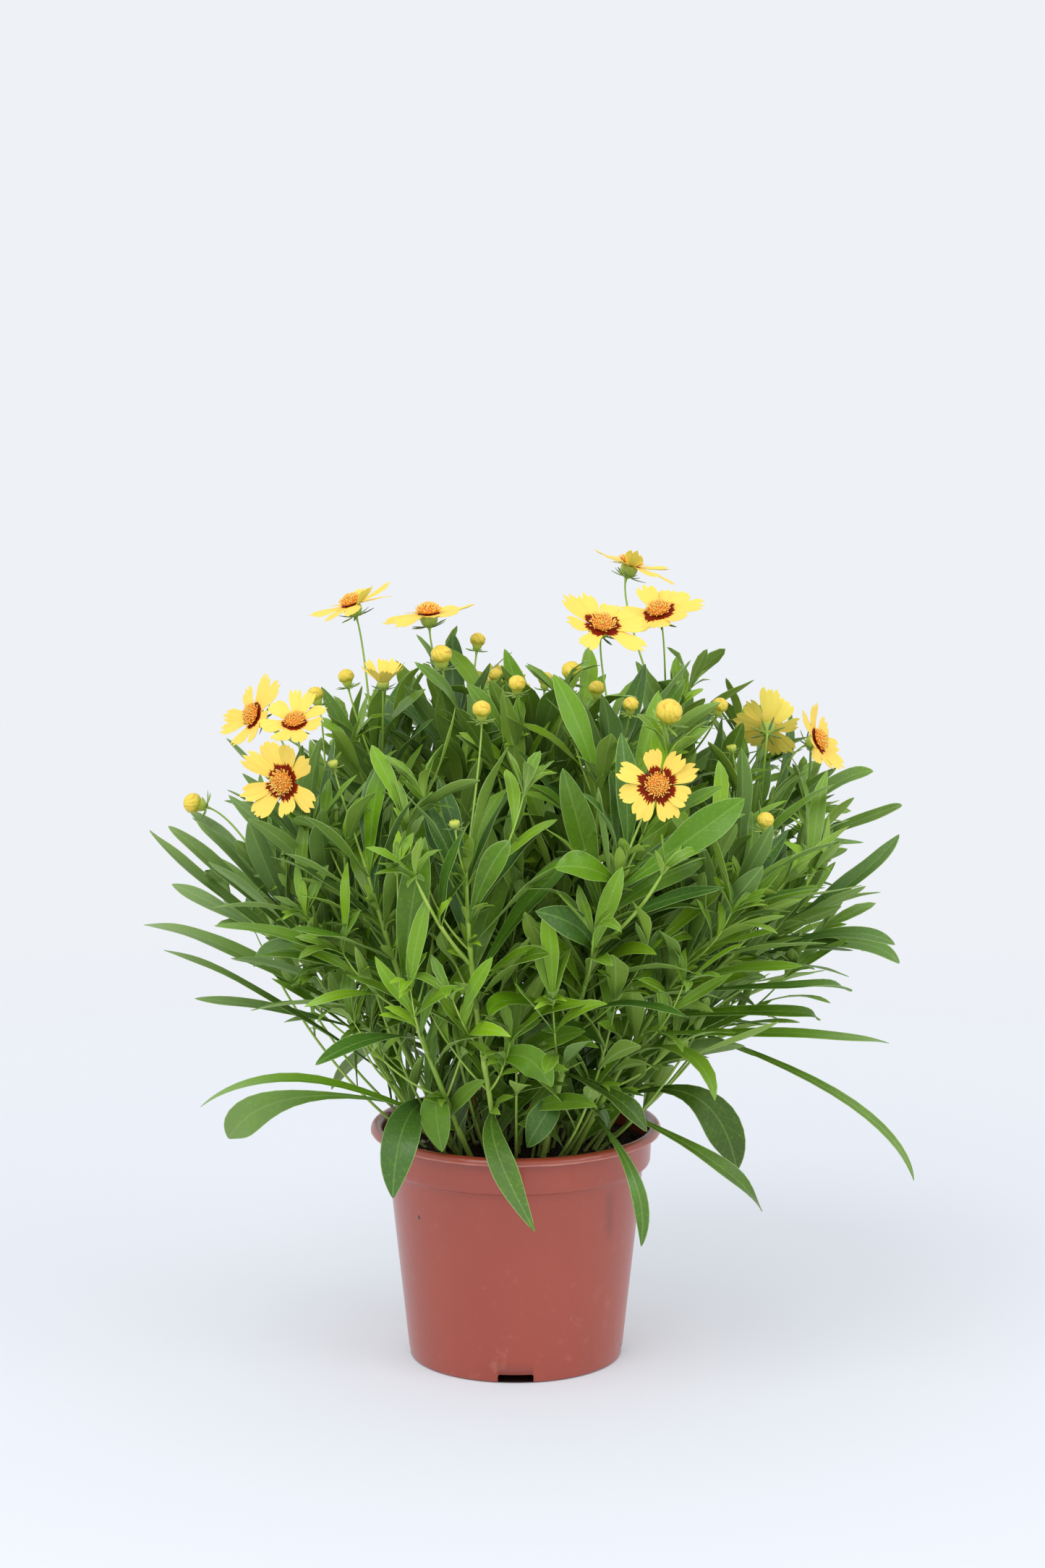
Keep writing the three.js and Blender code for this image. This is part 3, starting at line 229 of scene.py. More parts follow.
def ring_faces(rings, sides):
    """Four-cornered faces between rings of corners, numbered ring by ring and anticlockwise."""
    corner = np.arange(rings * sides).reshape(rings, sides)
    beside = np.roll(corner, -1, axis=1)
    return np.stack([corner[:-1], beside[:-1], beside[1:], corner[1:]], axis=-1).reshape(-1, 4)


def copies(faces, count, corners):
    """The same faces for each of count like shapes that have that many corners."""
    return (faces[None] + np.arange(count)[:, None, None] * corners).reshape(-1, faces.shape[-1])


def skins(rings, finish=0, place=None, tone=None):
    """Closed skins over rings of points (skins, rings, sides, 3), with a pole at either end."""
    count, levels, sides, _ = rings.shape
    size = levels * sides + 2
    poles = np.stack([rings[:, 0].mean(axis=1), rings[:, -1].mean(axis=1)], axis=1)
    around, last = np.arange(sides), (levels - 1) * sides
    beside = np.roll(around, -1)
    foot = np.stack([np.full(sides, size - 2), beside, around], axis=-1)
    top = np.stack([np.full(sides, size - 1), last + around, last + beside], axis=-1)

    def laid(values):
        if values is None:
            return np.zeros((count * size, 3))
        values = np.broadcast_to(values, rings.shape)
        ends = np.stack([values[:, 0].mean(axis=1), values[:, -1].mean(axis=1)], axis=1)
        return np.concatenate([values.reshape(count, -1, 3), ends], axis=1).reshape(-1, 3)

    return {
        "corners": np.concatenate([rings.reshape(count, -1, 3), poles], axis=1).reshape(-1, 3),
        "squares": copies(ring_faces(levels, sides), count, size),
        "triangles": copies(np.concatenate([foot, top]), count, size),
        "finishes": (finish, finish),
        "place": laid(place),
        "tone": laid(tone),
    }


def piece(name, parts, materials, node=None):
    """One mesh from many parts, shown on the object in place of a CAD node."""
    corners = np.concatenate([part["corners"] for part in parts])
    firsts = np.cumsum([0] + [len(part["corners"]) for part in parts[:-1]])
    squares = np.concatenate([part["squares"] + first for part, first in zip(parts, firsts)])
    triangles = np.concatenate([part["triangles"] + first for part, first in zip(parts, firsts)])
    finishes = [
        np.broadcast_to(part["finishes"][kind], len(part[faces]))
        for kind, faces in enumerate(("squares", "triangles")) for part in parts
    ]
    mesh = bpy.data.meshes.new(name)
    mesh.vertices.add(len(corners))
    mesh.vertices.foreach_set("co", (corners * 0.001).astype(np.float32).ravel())
    loops = np.concatenate([squares.ravel(), triangles.ravel()]).astype(np.int32)
    mesh.loops.add(len(loops))
    mesh.loops.foreach_set("vertex_index", loops)
    mesh.polygons.add(len(squares) + len(triangles))
    starts = np.append(np.arange(len(squares)) * 4, squares.size + np.arange(len(triangles)) * 3)
    mesh.polygons.foreach_set("loop_start", starts.astype(np.int32))
    mesh.polygons.foreach_set("material_index", np.concatenate(finishes).astype(np.int32))
    for mark in ("place", "tone"):
        values = np.concatenate([part[mark] for part in parts]).astype(np.float32)
        mesh.attributes.new(mark, "FLOAT_VECTOR", "POINT").data.foreach_set("vector", values.ravel())
    mesh.update(calc_edges=True)
    mesh.shade_smooth()
    mesh.set_sharp_from_angle(angle=math.radians(56))
    for material in materials:
        mesh.materials.append(material)
    shown = bpy.data.objects.new(name, mesh)
    bpy.context.scene.collection.objects.link(shown)
    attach(shown, "root")
    if node:
        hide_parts(node)
    return shown


def draw(item, kind):
    """A repeatable share from 0 to 1: the fraction of 43758.5453 sin(12.9898 item + 78.233 kind)."""
    value = np.sin(np.asarray(item) * 12.9898 + np.asarray(kind) * 78.233) * 43758.5453
    return value - np.floor(value)


def waves(angle, seed, slowest, count):
    """A ragged curve round a circle: the sum of count sines, each with one more wave than the last."""
    turns = slowest + np.arange(count)
    phases = 2 * math.pi * draw(turns, seed)
    return np.sin(angle[..., None] * turns + phases).sum(axis=-1) / math.sqrt(count)


def lathe(profile, sides, swell=0.0):
    """Rings of a turned shape: (radius cos a, radius sin a, height) for each profile point."""
    angle = round_angles(sides)
    radius, height = np.array(profile, float).T
    radius = radius[:, None] + swell
    ways = np.stack([np.cos(angle), np.sin(angle)], axis=-1)
    heights = np.broadcast_to(height[:, None, None], (len(profile), sides, 1))
    return np.concatenate([radius[..., None] * ways, heights], axis=-1)[None]


pot_angle, pot_rows = round_angles(POT_SIDES), np.arange(len(POT_PROFILE))[:, None]
trim = np.array([TRIM.get(row, 0.0) for row in range(len(POT_PROFILE))])[:, None]
ragged = 0.12 + 0.16 * np.clip(waves(pot_angle, 3, 5, 40), -1.2, 2)
flash = trim * ragged + 0.12 * waves(pot_angle, 5, 2, 4) * (pot_rows > COLLAR_ROW)

terracotta = Finish("terracotta_plastic", Roughness=0.36, Specular_IOR_Level=0.6, IOR=1.5,
                    Coat_Weight=0.4, Coat_Roughness=0.12)
spot = terracotta.place()
across, deep, high = terracotta.split(spot)
clouds = terracotta.cloud(terracotta.stretched(spot, (1, 1, 0.35)), 16, 4)
colour = terracotta.blend(clouds, tint(146, 54, 34), tint(170, 72, 50))

dust = terracotta.ease(terracotta.cloud(spot, 120, 6), 0.56, 0.8, 0, 0.3)
dust = terracotta.times(dust, terracotta.ease(high, 0.0, 0.1, 1.0, 0.35))
colour = terracotta.blend(dust, colour, tint(190, 120, 100))

scratches = terracotta.cloud(terracotta.stretched(spot, (1.0, 1.0, 0.09)), 620, 2)
scratches = terracotta.ease(scratches, 0.7, 0.76, 0, 0.35)
patches = terracotta.ease(terracotta.cloud(spot, 22, 2), 0.5, 0.62)
colour = terracotta.blend(terracotta.times(scratches, patches), colour, tint(206, 132, 112))

# Painted shade of a leaf that hangs over the pot: a dark vertical band on its front, right of the middle.
beside = terracotta.reckon("ABSOLUTE", terracotta.reckon("SUBTRACT", across, LEAF_SHADE_ACROSS))
leaf_shade = terracotta.times(
    terracotta.ease(beside, 0.0, 0.005, 0.34, 0),
    terracotta.ease(high, 0.086, 0.1),
    terracotta.ease(high, 0.118, 0.127, 1, 0),
    terracotta.reckon("LESS_THAN", deep, 0.0),
)
colour = terracotta.blend(leaf_shade, colour, tint(96, 40, 24))
for speck, size in SPECKS:
    dot = terracotta.ease(terracotta.gap(spot, speck), size * 0.6, size, 0.9, 0)
    colour = terracotta.blend(dot, colour, tint(40, 22, 18))

outward = terracotta.gap(terracotta.stretched(spot, (1, 1, 0)))
thread = terracotta.times(
    terracotta.ease(outward, 0.0944, 0.0951), terracotta.ease(high, 0.1512, 0.1518, 1, 0), 0.55)
colour = terracotta.blend(thread, colour, tint(212, 150, 130))
terracotta.give(Base_Color=colour, Roughness=terracotta.ease(clouds, 0.3, 0.7, 0.33, 0.42))
grain = terracotta.times(terracotta.cloud(spot, 1400, 2), 0.3)
terracotta.relief(terracotta.reckon("ADD", grain, terracotta.cloud(spot, 34, 2)), 0.0006, 0.3)

pot_sheet = skins(lathe(POT_PROFILE, POT_SIDES, flash))
pot = piece("pot_shell", [pot_sheet], [terracotta.material], "pot")


def notch_block(turn):
    """Rings of a bevelled bar 23 wide that cuts a notch 5.8 high through the standing ring."""
    side, height = np.array(NOTCH_OUTLINE).T
    out = np.array([60.0, 84.0])[:, None]
    across = out * math.cos(turn) - side * math.sin(turn)
    deep = out * math.sin(turn) + side * math.cos(turn)
    return np.stack([across, deep, np.broadcast_to(height, across.shape)], axis=-1)


def drain(turn):
    """Rings of a round peg that cuts a drain hole through the floor."""
    peg = lathe([(DRAIN_RADIUS, 2), (DRAIN_RADIUS, 12)], DRAIN_SIDES)[0]
    return peg + [DRAIN_PLACE * math.cos(turn), DRAIN_PLACE * math.sin(turn), 0]


quarters = [math.pi / 2 * i for i in range(4)]
cutters = [skins(np.stack([notch_block(turn) for turn in quarters])),
           skins(np.stack([drain(turn + math.pi / 4) for turn in quarters]))]
cutter = piece("cutter", cutters, [])
cut = pot.modifiers.new("cut", "BOOLEAN")
cut.object, cut.solver, cut.operation = cutter, "EXACT", "DIFFERENCE"
cut_mesh = bpy.data.meshes.new_from_object(pot.evaluated_get(bpy.context.evaluated_depsgraph_get()))
pot.modifiers.clear()
pot.data = cut_mesh
bpy.data.objects.remove(cutter)

# ---------------------------------------------------------------------------------- soil
# The root ball: dark peat, settled a finger's breadth under the rim, with loose crumbs, fibres
# and a few pale grains on top. It fills the pot, so only its top and the holes' view show.

SOIL_EDGE = [(4, 8.4), (67, 8.4), (81, 127), (85, 131.2), (86, 138.2)]
SOIL_RADIUS, SOIL_LEVEL, SOIL_RINGS, SOIL_SIDES = 86, 137.2, 44, 132
CRUMBS, CRUMB_REACH, CRUMB_LEVEL, CRUMB_PROFILE = 420, 84, 141.2, [(0.5, -0.8), (1, 0), (0.55, 0.75)]


def lumps(x, y, seed, size, count=7):
    """A crumbly height: the mean of 1 - |sine| over count ways and wavelengths near size."""
    turn, phase = 2 * math.pi * draw(np.arange(count), seed), 6.3 * draw(np.arange(count), seed + 1)
    pitch = 2 * math.pi / (size * (0.6 + draw(np.arange(count), seed + 2)))
    along = x[..., None] * np.cos(turn) + y[..., None] * np.sin(turn)
    return (1 - np.abs(np.sin(along * pitch + phase))).sum(axis=-1) / count


soil_angle = round_angles(SOIL_SIDES)
soil_radius = SOIL_RADIUS * (1 - np.linspace(0, 0.985, SOIL_RINGS)) ** 0.9
soil_x = soil_radius[:, None] * np.cos(soil_angle)
soil_y = soil_radius[:, None] * np.sin(soil_angle)
soil_z = SOIL_LEVEL + 2.6 * lumps(soil_x, soil_y, 41, 24)
soil_z = soil_z + 3 * lumps(soil_x, soil_y, 47, 9) + 1.5 * lumps(soil_x, soil_y, 53, 3.4)
soil_top = np.stack([soil_x, soil_y, soil_z], axis=-1)
soil_rings = np.concatenate([lathe(SOIL_EDGE, SOIL_SIDES)[0], soil_top])[None]

crumb = np.arange(CRUMBS)
crumb_reach, crumb_turn = CRUMB_REACH * np.sqrt(draw(crumb, 61)), 2 * math.pi * draw(crumb, 62)
crumb_size = (0.6 + 1.7 * draw(crumb, 63) ** 3)[:, None, None, None]
crumb_at = [crumb_reach * np.cos(crumb_turn), crumb_reach * np.sin(crumb_turn), 0 * crumb + CRUMB_LEVEL]
crumb_bumps = 0.75 + 0.5 * draw(np.arange(CRUMBS * 18).reshape(CRUMBS, 3, 6, 1), 64)
crumb_shape = lathe(CRUMB_PROFILE, 6) * crumb_size * crumb_bumps
crumb_rings = np.stack(crumb_at, axis=-1)[:, None, None] + crumb_shape
crumb_tone = np.stack([draw(crumb, 65)] * 3, axis=-1)[:, None, None]

peat = Finish("peat", Roughness=0.95, Specular_IOR_Level=0.2)
spot = peat.place()
pale = peat.reckon("GREATER_THAN", peat.mark("tone")[0], 0.93)
colour = peat.blend(peat.cloud(spot, 260, 5), tint(22, 14, 10), tint(66, 46, 33))
fibres = peat.ease(peat.cloud(peat.stretched(spot, (1, 0.2, 1)), 900, 2), 0.62, 0.72)
colour = peat.blend(fibres, colour, tint(98, 70, 46))
peat.give(Base_Color=peat.blend(pale, colour, tint(170, 160, 140)))
peat.relief(peat.cloud(spot, 1100, 4), 0.0012, 0.7)
soil = [skins(soil_rings), skins(crumb_rings, tone=crumb_tone)]
piece("root_ball", soil, [peat.material], "soil")

# ---------------------------------------------------------------------------------- leafy stems
# Sixteen main stems come out of the soil, each with its pairs of lance-shaped leaves, a side
# shoot, and the thin stalks, green cups and bracts of its heads: all one growth, in fresh green.

ROOT_LEVEL = 127
STEM, SHOOT, STALK = (2.5, 1.7), (1.7, 1.3), (1.3, 1.0)  # radius at foot and top
SHOOT_LENGTH, SHOOT_LEAN, SHOOT_PLACE, SHOOT_PAIRS = 80, math.radians(30), 0.64, (0.5, 0.95)
PAIR_PLACES = (0.45, 0.58, 0.7, 0.79, 0.86, 0.915, 0.97)
NODE_HALF, TRIES = 1.2, 18  # half the height of a leaf pair's joint; how often a leaf was tried
HUB_DEPTH, CUP_DEPTH, SHALLOW_CUP = 0.85, 8.2, 5.6
LEAF_STEP, SHOOT_STEP, PLACED_STEP = 11, 9, 4  # degrees by which each try is swung on
PLACED_SEED, SHOOT_SEED = 9000, 5000

STEMS = [  # where each leaves the soil, its middle, its top
    ((-42, -8), (-108, -42, 238), (-157, -58, 331)),
    ((-30, -26), (-88, -62, 254), (-133, -74, 356)),
    ((-22, -44), (-62, -104, 246), (-92, -122, 348)),
    ((-6, -52), (-24, -122, 258), (-30, -136, 352)),
    ((14, -48), (42, -116, 268), (70, -140, 364)),
    ((30, -32), (86, -84, 246), (140, -98, 328)),
    ((44, -10), (112, -18, 231), (178, -26, 298)),
    ((40, 14), (106, 46, 250), (168, 54, 350)),
    ((20, 22), (62, 52, 268), (104, 52, 394)),
    ((18, -16), (42, -42, 284), (64, -46, 408)),
    ((2, -2), (8, 4, 280), (14, 2, 412)),
    ((-14, 8), (-28, 14, 280), (-40, 16, 408)),
    ((-30, 14), (-66, 26, 272), (-92, 14, 396)),
    ((-32, 34), (-82, 92, 246), (-122, 118, 336)),
    ((-2, 42), (-6, 108, 256), (2, 138, 352)),
    ((26, 38), (70, 94, 248), (112, 122, 338)),
]
BLOOMS = [  # stem, how far up it, the disc's middle, the way it faces, lift of the rays, size
    (1, 0.88, (-167, -22, 428), (-0.77, -0.56, 0.31), 0, 0.98),
    (1, 0.94, (-139, -50, 428), (-0.1, -0.6, 0.79), 0, 0.88),
    (1, 1, (-144, -96, 397), (-0.41, -0.9, 0.14), 0, 1.04),
    (12, 1, (-106, 28, 493), (-0.3, -0.1, 0.95), 0, 1.0),
    (11, 1, (-56, 10, 489), (-0.05, -0.08, 0.99), 0, 1.06),
    (12, 0.89, (-84, -30, 452), (0.02, -0.16, 0.98), 46, 0.72),
    (9, 1, (55, -34, 487), (0.1, -0.56, 0.82), 0, 1.06),
    (8, 0.94, (92, 5, 491), (-0.2, -0.45, 0.87), 0, 1.04),
    (8, 1, (75, 60, 515), (0.3, 0.05, 0.95), 0, 1.04),
    (4, 1, (86, -152, 405), (0.02, -0.97, 0.22), 0, 1.0),
    (7, 0.93, (165, 40, 411), (0.1, 0.9, 0.43), 0, 0.98),
    (7, 1, (196, 20, 405), (0.84, -0.36, 0.4), 0, 0.96),
    (14, 1, (-14, 164, 414), (-0.1, 0.82, 0.56), 9, 1.0),
]
BUDS = [  # stem, how far up it, the foot's middle, the way it faces, size
    (0, 1, (-201, -40, 373), (-0.9, -0.2, 0.3), 1.05),
    (12, 0.94, (-109, 16, 444), (-0.2, 0, 0.98), 0.85),
    (1, 0.82, (-128, 2, 434), (-0.3, 0.1, 0.95), 0.9),
    (11, 0.94, (-47, -12, 461), (-0.1, -0.1, 0.98), 1.1),
    (11, 0.88, (-25, 30, 466), (0.1, 0.1, 0.98), 0.82),
    (10, 0.89, (-12, 18, 445), (-0.2, 0.1, 0.97), 0.78),
    (10, 0.94, (1, -50, 449), (0, -0.3, 0.95), 0.9),
    (3, 1, (-21, -82, 437), (0, -0.2, 0.98), 0.95),
    (10, 1, (19, 12, 443), (0.1, 0.1, 0.98), 0.8),
    (10, 0.83, (35, -40, 455), (0.1, -0.2, 0.97), 1.05),
    (9, 0.84, (52, -10, 440), (0, 0, 1), 0.85),
    (9, 0.94, (72, -58, 437), (0.1, -0.2, 0.97), 0.82),
    (9, 0.89, (94, -92, 437), (0.2, -0.6, 0.78), 1.35),
    (8, 0.88, (131, 12, 426), (0.3, -0.1, 0.95), 0.85),
    (5, 1, (154, -112, 373), (0.1, -0.3, 0.95), 0.85),
    (15, 1, (106, 112, 420), (0.1, 0.1, 0.98), 0.9),
]
GREEN_BUDS = [
    (2, 1, (-114, -84, 408), (-0.2, -0.2, 0.96), 0.6),
    (3, 0.93, (-37, -150, 382), (-0.1, -0.2, 0.97), 0.6),
    (7, 0.87, (139, 4, 404), (-0.2, -0.1, 0.97), 0.6),
]
HEAD_KINDS = [  # the number of the first, the heads, the height of the cup's rim, its scale and depth
    (0, BLOOMS, -HUB_DEPTH, 1, CUP_DEPTH),
    (20, BUDS, 0, 0.86, SHALLOW_CUP),
    (40, GREEN_BUDS, 0, 1, CUP_DEPTH),
]
UP, FRONT = (0, -0.4, 0.9), (0, -0.9, 0.35)
PLACED = [  # stem, how far up it, a point at mid-leaf, the tip, width, the way it faces
    (0, 0.66, (-196, -54, 325), (-233, -45, 357), 12, UP),
    (0, 0.72, (-186, -66, 336), (-217, -74, 366), 12, UP),
    (0, 0.84, (-178, -86, 348), (-199, -96, 372), 14, UP),
    (0, 0.52, (-190, -22, 278), (-243, 12, 285), 13, UP),
    (0, 0.3, (-162, -74, 259), (-221, -80, 289), 11, UP),
    (2, 0.62, (-130, -130, 304), (-185, -132, 317), 15, UP),
    (2, 0.66, (-143, -106, 287), (-169, -102, 270), 15, UP),
    (2, 0.16, (-132, -100, 208), (-198, -98, 190), 10, UP),
    (1, 0.17, (-138, -72, 190), (-184, -62, 159), 22, FRONT),
    (1, 0.2, (-78, -108, 178), (-88, -122, 134), 23, FRONT),
    (2, 0.24, (-50, -88, 190), (-46, -84, 158), 20, FRONT),
    (3, 0.2, (-10, -116, 162), (14, -128, 118), 17, FRONT),
    (4, 0.22, (18, -98, 184), (4, -88, 160), 18, FRONT),
    (4, 0.28, (62, -112, 200), (82, -112, 178), 15, UP),
    (5, 0.18, (75, -112, 146), (79, -110, 103), 10, FRONT),
    (5, 0.22, (120, -96, 158), (160, -90, 122), 14, UP),
    (6, 0.22, (118, -64, 186), (142, -58, 138), 24, FRONT),
    (6, 0.46, (208, -96, 194), (249, -118, 148), 6.5, UP),
    (6, 0.44, (170, -52, 226), (199, -72, 220), 10, UP),
    (5, 0.44, (178, -74, 232), (239, -54, 222), 10, UP),
    (5, 0.5, (166, -90, 250), (191, -84, 244), 12, UP),
    (5, 0.58, (176, -104, 270), (210, -98, 267), 15, UP),
    (6, 0.74, (212, -14, 279), (249, -15, 265), 14, UP),
    (6, 0.78, (206, -44, 290), (242, -44, 283), 13, UP),
    (6, 0.86, (214, -20, 318), (246, -8, 350), 16, UP),
    (7, 0.8, (218, 10, 352), (249, -6, 367), 10, UP),
    (7, 0.88, (206, 62, 366), (237, 66, 378), 13, UP),
    (4, 0.82, (102, -163, 371), (138, -166, 399), 21, FRONT),
    (2, 0.6, (-64, -150, 322), (-54, -150, 372), 20, FRONT),
    (4, 0.86, (44, -166, 356), (24, -172, 357), 20, FRONT),
    (3, 0.78, (-17, -164, 352), (-3, -170, 374), 15, FRONT),
    (3, 0.52, (0, -160, 296), (21, -168, 306), 15, UP),
    (4, 0.44, (-2, -144, 270), (-19, -152, 261), 17, UP),
    (3, 0.34, (6, -138, 232), (20, -142, 211), 19, FRONT),
    (4, 0.62, (38, -158, 318), (12, -168, 330), 18, FRONT),
    (13, 0.2, (-92, 104, 182), (-128, 128, 146), 18, (-0.4, 0.5, 0.8)),
    (14, 0.22, (-16, 122, 176), (-26, 136, 128), 19, (0, 0.9, 0.4)),
    (15, 0.2, (92, 98, 186), (132, 116, 164), 17, (0.4, 0.5, 0.8)),
]
SPOONS = {PLACED_SEED + 8: 1.6, PLACED_SEED + 16: 0.6}  # leaves that are widest late, by their seed


def mix(first, second, share):
    """The value that lies a share of the way from the first to the second."""
    return first + (second - first) * share


def unit(vectors):
    return vectors / np.linalg.norm(vectors, axis=-1, keepdims=True)


def square_to(vectors, axis):
    """The part of each vector that is square to a unit axis, at length one."""
    return unit(vectors - axis * np.sum(vectors * axis, axis=-1, keepdims=True))


def arch_through(start, via, end):
    """The three Bezier points of an arch from start to end that passes through via at its middle."""
    start, via, end = (np.asarray(place, float) for place in (start, via, end))
    return np.stack([start, 2 * via - (start + end) / 2, end])


def arch_point(arch, t):
    """Points on an arch: (1-t)^2 start + 2 t (1-t) control + t^2 end."""
    t = np.asarray(t, float)
    return np.stack([(1 - t) ** 2, 2 * t * (1 - t), t**2], axis=-1) @ arch


def arch_way(arch, t):
    """The unit tangent: the slope of the same polynomial."""
    t = np.asarray(t, float)
    return unit(np.stack([2 * t - 2, 2 - 4 * t, 2 * t], axis=-1) @ arch)


def arch_length(arch):
    """The sum of two hundred short chords."""
    steps = np.diff(arch_point(arch, np.linspace(0, 1, 201)), axis=0)
    return np.linalg.norm(steps, axis=-1).sum()


def arch_plane(arch):
    """The unit normal of the plane that an arch lies in."""
    chord = arch[2] - arch[0]
    normal = np.cross(arch[1] - arch[0], chord)
    if np.linalg.norm(normal) < 1e-3 * (chord @ chord):
        return square_to(np.array([0.6, 0.8, 0]), unit(chord))
    return unit(normal)


def sideways(limb, t, angle):
    """The way out of a limb's side: plane normal x cos + (tangent x normal) x sin of the angle."""
    plane = arch_plane(limb["arch"])
    return plane * math.cos(angle) + np.cross(arch_way(limb["arch"], t), plane) * math.sin(angle)


def swing(point, base, axis, step, k):
    """Try k of a growth: swung about its stem by more each time, to and fro, then shortened."""
    turn = math.radians((1 if k % 2 else -1) * math.ceil((k % 9) / 2) * step)
    arm = np.asarray(point, float) - base
    along = axis * (axis @ arm) * (1 - math.cos(turn))
    turned = arm * math.cos(turn) + np.cross(axis, arm) * math.sin(turn) + along
    return base + turned * (1 - 0.2 * (k // 9))


def packed_corners(name):
    """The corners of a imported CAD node."""
    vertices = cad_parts[name].data.vertices
    places = np.empty(len(vertices) * 3, np.float32)
    vertices.foreach_get("co", places)
    return places.reshape(-1, 3) * 1000.0


def grown(tips, corners):
    """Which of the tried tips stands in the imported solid, or None."""
    gaps = np.linalg.norm(np.asarray(tips)[:, None] - corners, axis=-1).min(axis=1)
    return int(gaps.argmin()) if gaps.min() < 0.03 else None


def make_limb(arch, radii, turn, kind):
    """A stem, shoot or twig: its arch, its radii, how its four sides are turned, and what grows on it."""
    limb = {"arch": arch, "radii": radii, "turn": turn, "kind": kind, "length": arch_length(arch)}
    return {**limb, "taken": [], "leaves": []}


def joints_near(limb, origin):
    """The joints of a limb that are too near a place for another, each with its taken sides."""
    return [joint for joint in limb["taken"] if abs(joint[0] - origin) < 3 * NODE_HALF / limb["length"]]


def take(limb, origin, side):
    """Notes that a side of a limb is taken at a place."""
    near = joints_near(limb, origin)
    if not near:
        near = [(origin, set())]
        limb["taken"] += near
    near[0][1].add(side)


def nearest_side(limb, origin, target):
    """Which of a limb's four sides looks most toward a target."""
    toward = np.asarray(target, float) - arch_point(limb["arch"], origin)
    ways = [sideways(limb, origin, limb["turn"] + side * math.pi / 2) for side in range(4)]
    return int(np.argmax([way @ toward for way in ways]))


def rule_leaf(limb, origin, height, side, seed):
    """A leaf of a pair by rule: its middle, its tip, its width and the way it faces.

    It is long and drooping low down, short and upright on top, and slimmer out on the flanks.
    """
    way_out = sideways(limb, origin, limb["turn"] + side * math.pi / 2 + 0.5 * (draw(seed, 16) - 0.5))
    axis = arch_way(limb["arch"], origin)
    length = mix(104, 76, height) * (0.82 + 0.32 * draw(seed, 11))
    spread = math.radians(mix(48, 24, height) + 16 * (draw(seed, 12) - 0.5))
    way = axis * math.cos(spread) + way_out * math.sin(spread)
    bend = way + way_out * 0.35 * draw(seed, 13)
    bend[2] += mix(-0.4, 0.12, height) * draw(seed, 14)
    via = arch_point(limb["arch"], origin) + way * length / 2
    tip = via + unit(bend) * length / 2
    width = length * (mix(0.135, 0.175, height) + 0.055 * draw(seed, 15))
    flank = min(1, max(0, (abs(tip[0]) - 105) / 90))
    return via, tip, width * mix(1, 0.64, flank), axis


def tried_arch(limb, origin, via, tip, step, k):
    """The arch of a growth at its try k."""
    base, axis = arch_point(limb["arch"], origin), arch_way(limb["arch"], origin)
    return arch_through(base, swing(via, base, axis, step, k), swing(tip, base, axis, step, k))


def grow_leaf(limb, corners, origin, side, via, tip, width, face, step, seed):
    """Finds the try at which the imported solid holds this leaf, and keeps it with its limb."""
    k = grown([tried_arch(limb, origin, via, tip, step, k)[2] for k in range(TRIES)], corners)
    if k is None:
        return
    axis = arch_way(limb["arch"], origin)
    turned = swing(face, np.zeros(3), axis, step, k)
    arch = tried_arch(limb, origin, via, tip, step, k)
    limb["leaves"].append({"arch": arch, "face": turned, "width": width, "seed": seed})
    take(limb, origin, side)


def grow_pair(limb, corners, origin, height, side, seed):
    """The two leaves of a pair, each where its side of the limb is still free."""
    for i, half in enumerate((side % 4, (side + 2) % 4)):
        near = joints_near(limb, origin)
        if near and half in near[0][1]:
            continue
        start = near[0][0] if near else origin
        via, tip, width, face = rule_leaf(limb, start, height, half, seed + i)
        grow_leaf(limb, corners, start, half, via, tip, width, face, LEAF_STEP, seed + i)


def stalk_arch(stem, origin, at, face, neck):
    """The arch under a head: it leaves its stem and bends to the way the head faces."""
    axis = unit(np.array(face, float))
    start, end = arch_point(stem["arch"], origin), np.array(at) + axis * neck
    return np.stack([start, end - axis * min(17, 0.42 * np.linalg.norm(end - start)), end])


stems = [
    make_limb(arch_through((*root, ROOT_LEVEL), via, top), STEM, i * 0.7, "stem")
    for i, (root, via, top) in enumerate(STEMS)
]
heads, head_numbers = [], []
for first, kind, top, scale, depth in HEAD_KINDS:
    for i, (stem, origin, at, face, *_, size) in enumerate(kind):
        heads.append((stem, origin, at, face, top, size * scale, depth))
        head_numbers.append(first + i)
stalks = []
for stem, origin, at, face, top, size, depth in heads:
    arch = stalk_arch(stems[stem], origin, at, face, top - depth * size)
    stalks.append(arch)
    if origin < 1:
        take(stems[stem], origin, nearest_side(stems[stem], origin, arch_point(arch, 0.5)))

corners_of = [packed_corners(f"leafy_stem_{i + 1:02d}") for i in range(len(STEMS))]
for i, (owner, origin, via, tip, width, face) in enumerate(PLACED):
    stem, side = stems[owner], nearest_side(stems[owner], origin, via)
    grow_leaf(stem, corners_of[owner], origin, side, via, tip, width, face, PLACED_STEP, PLACED_SEED + i)

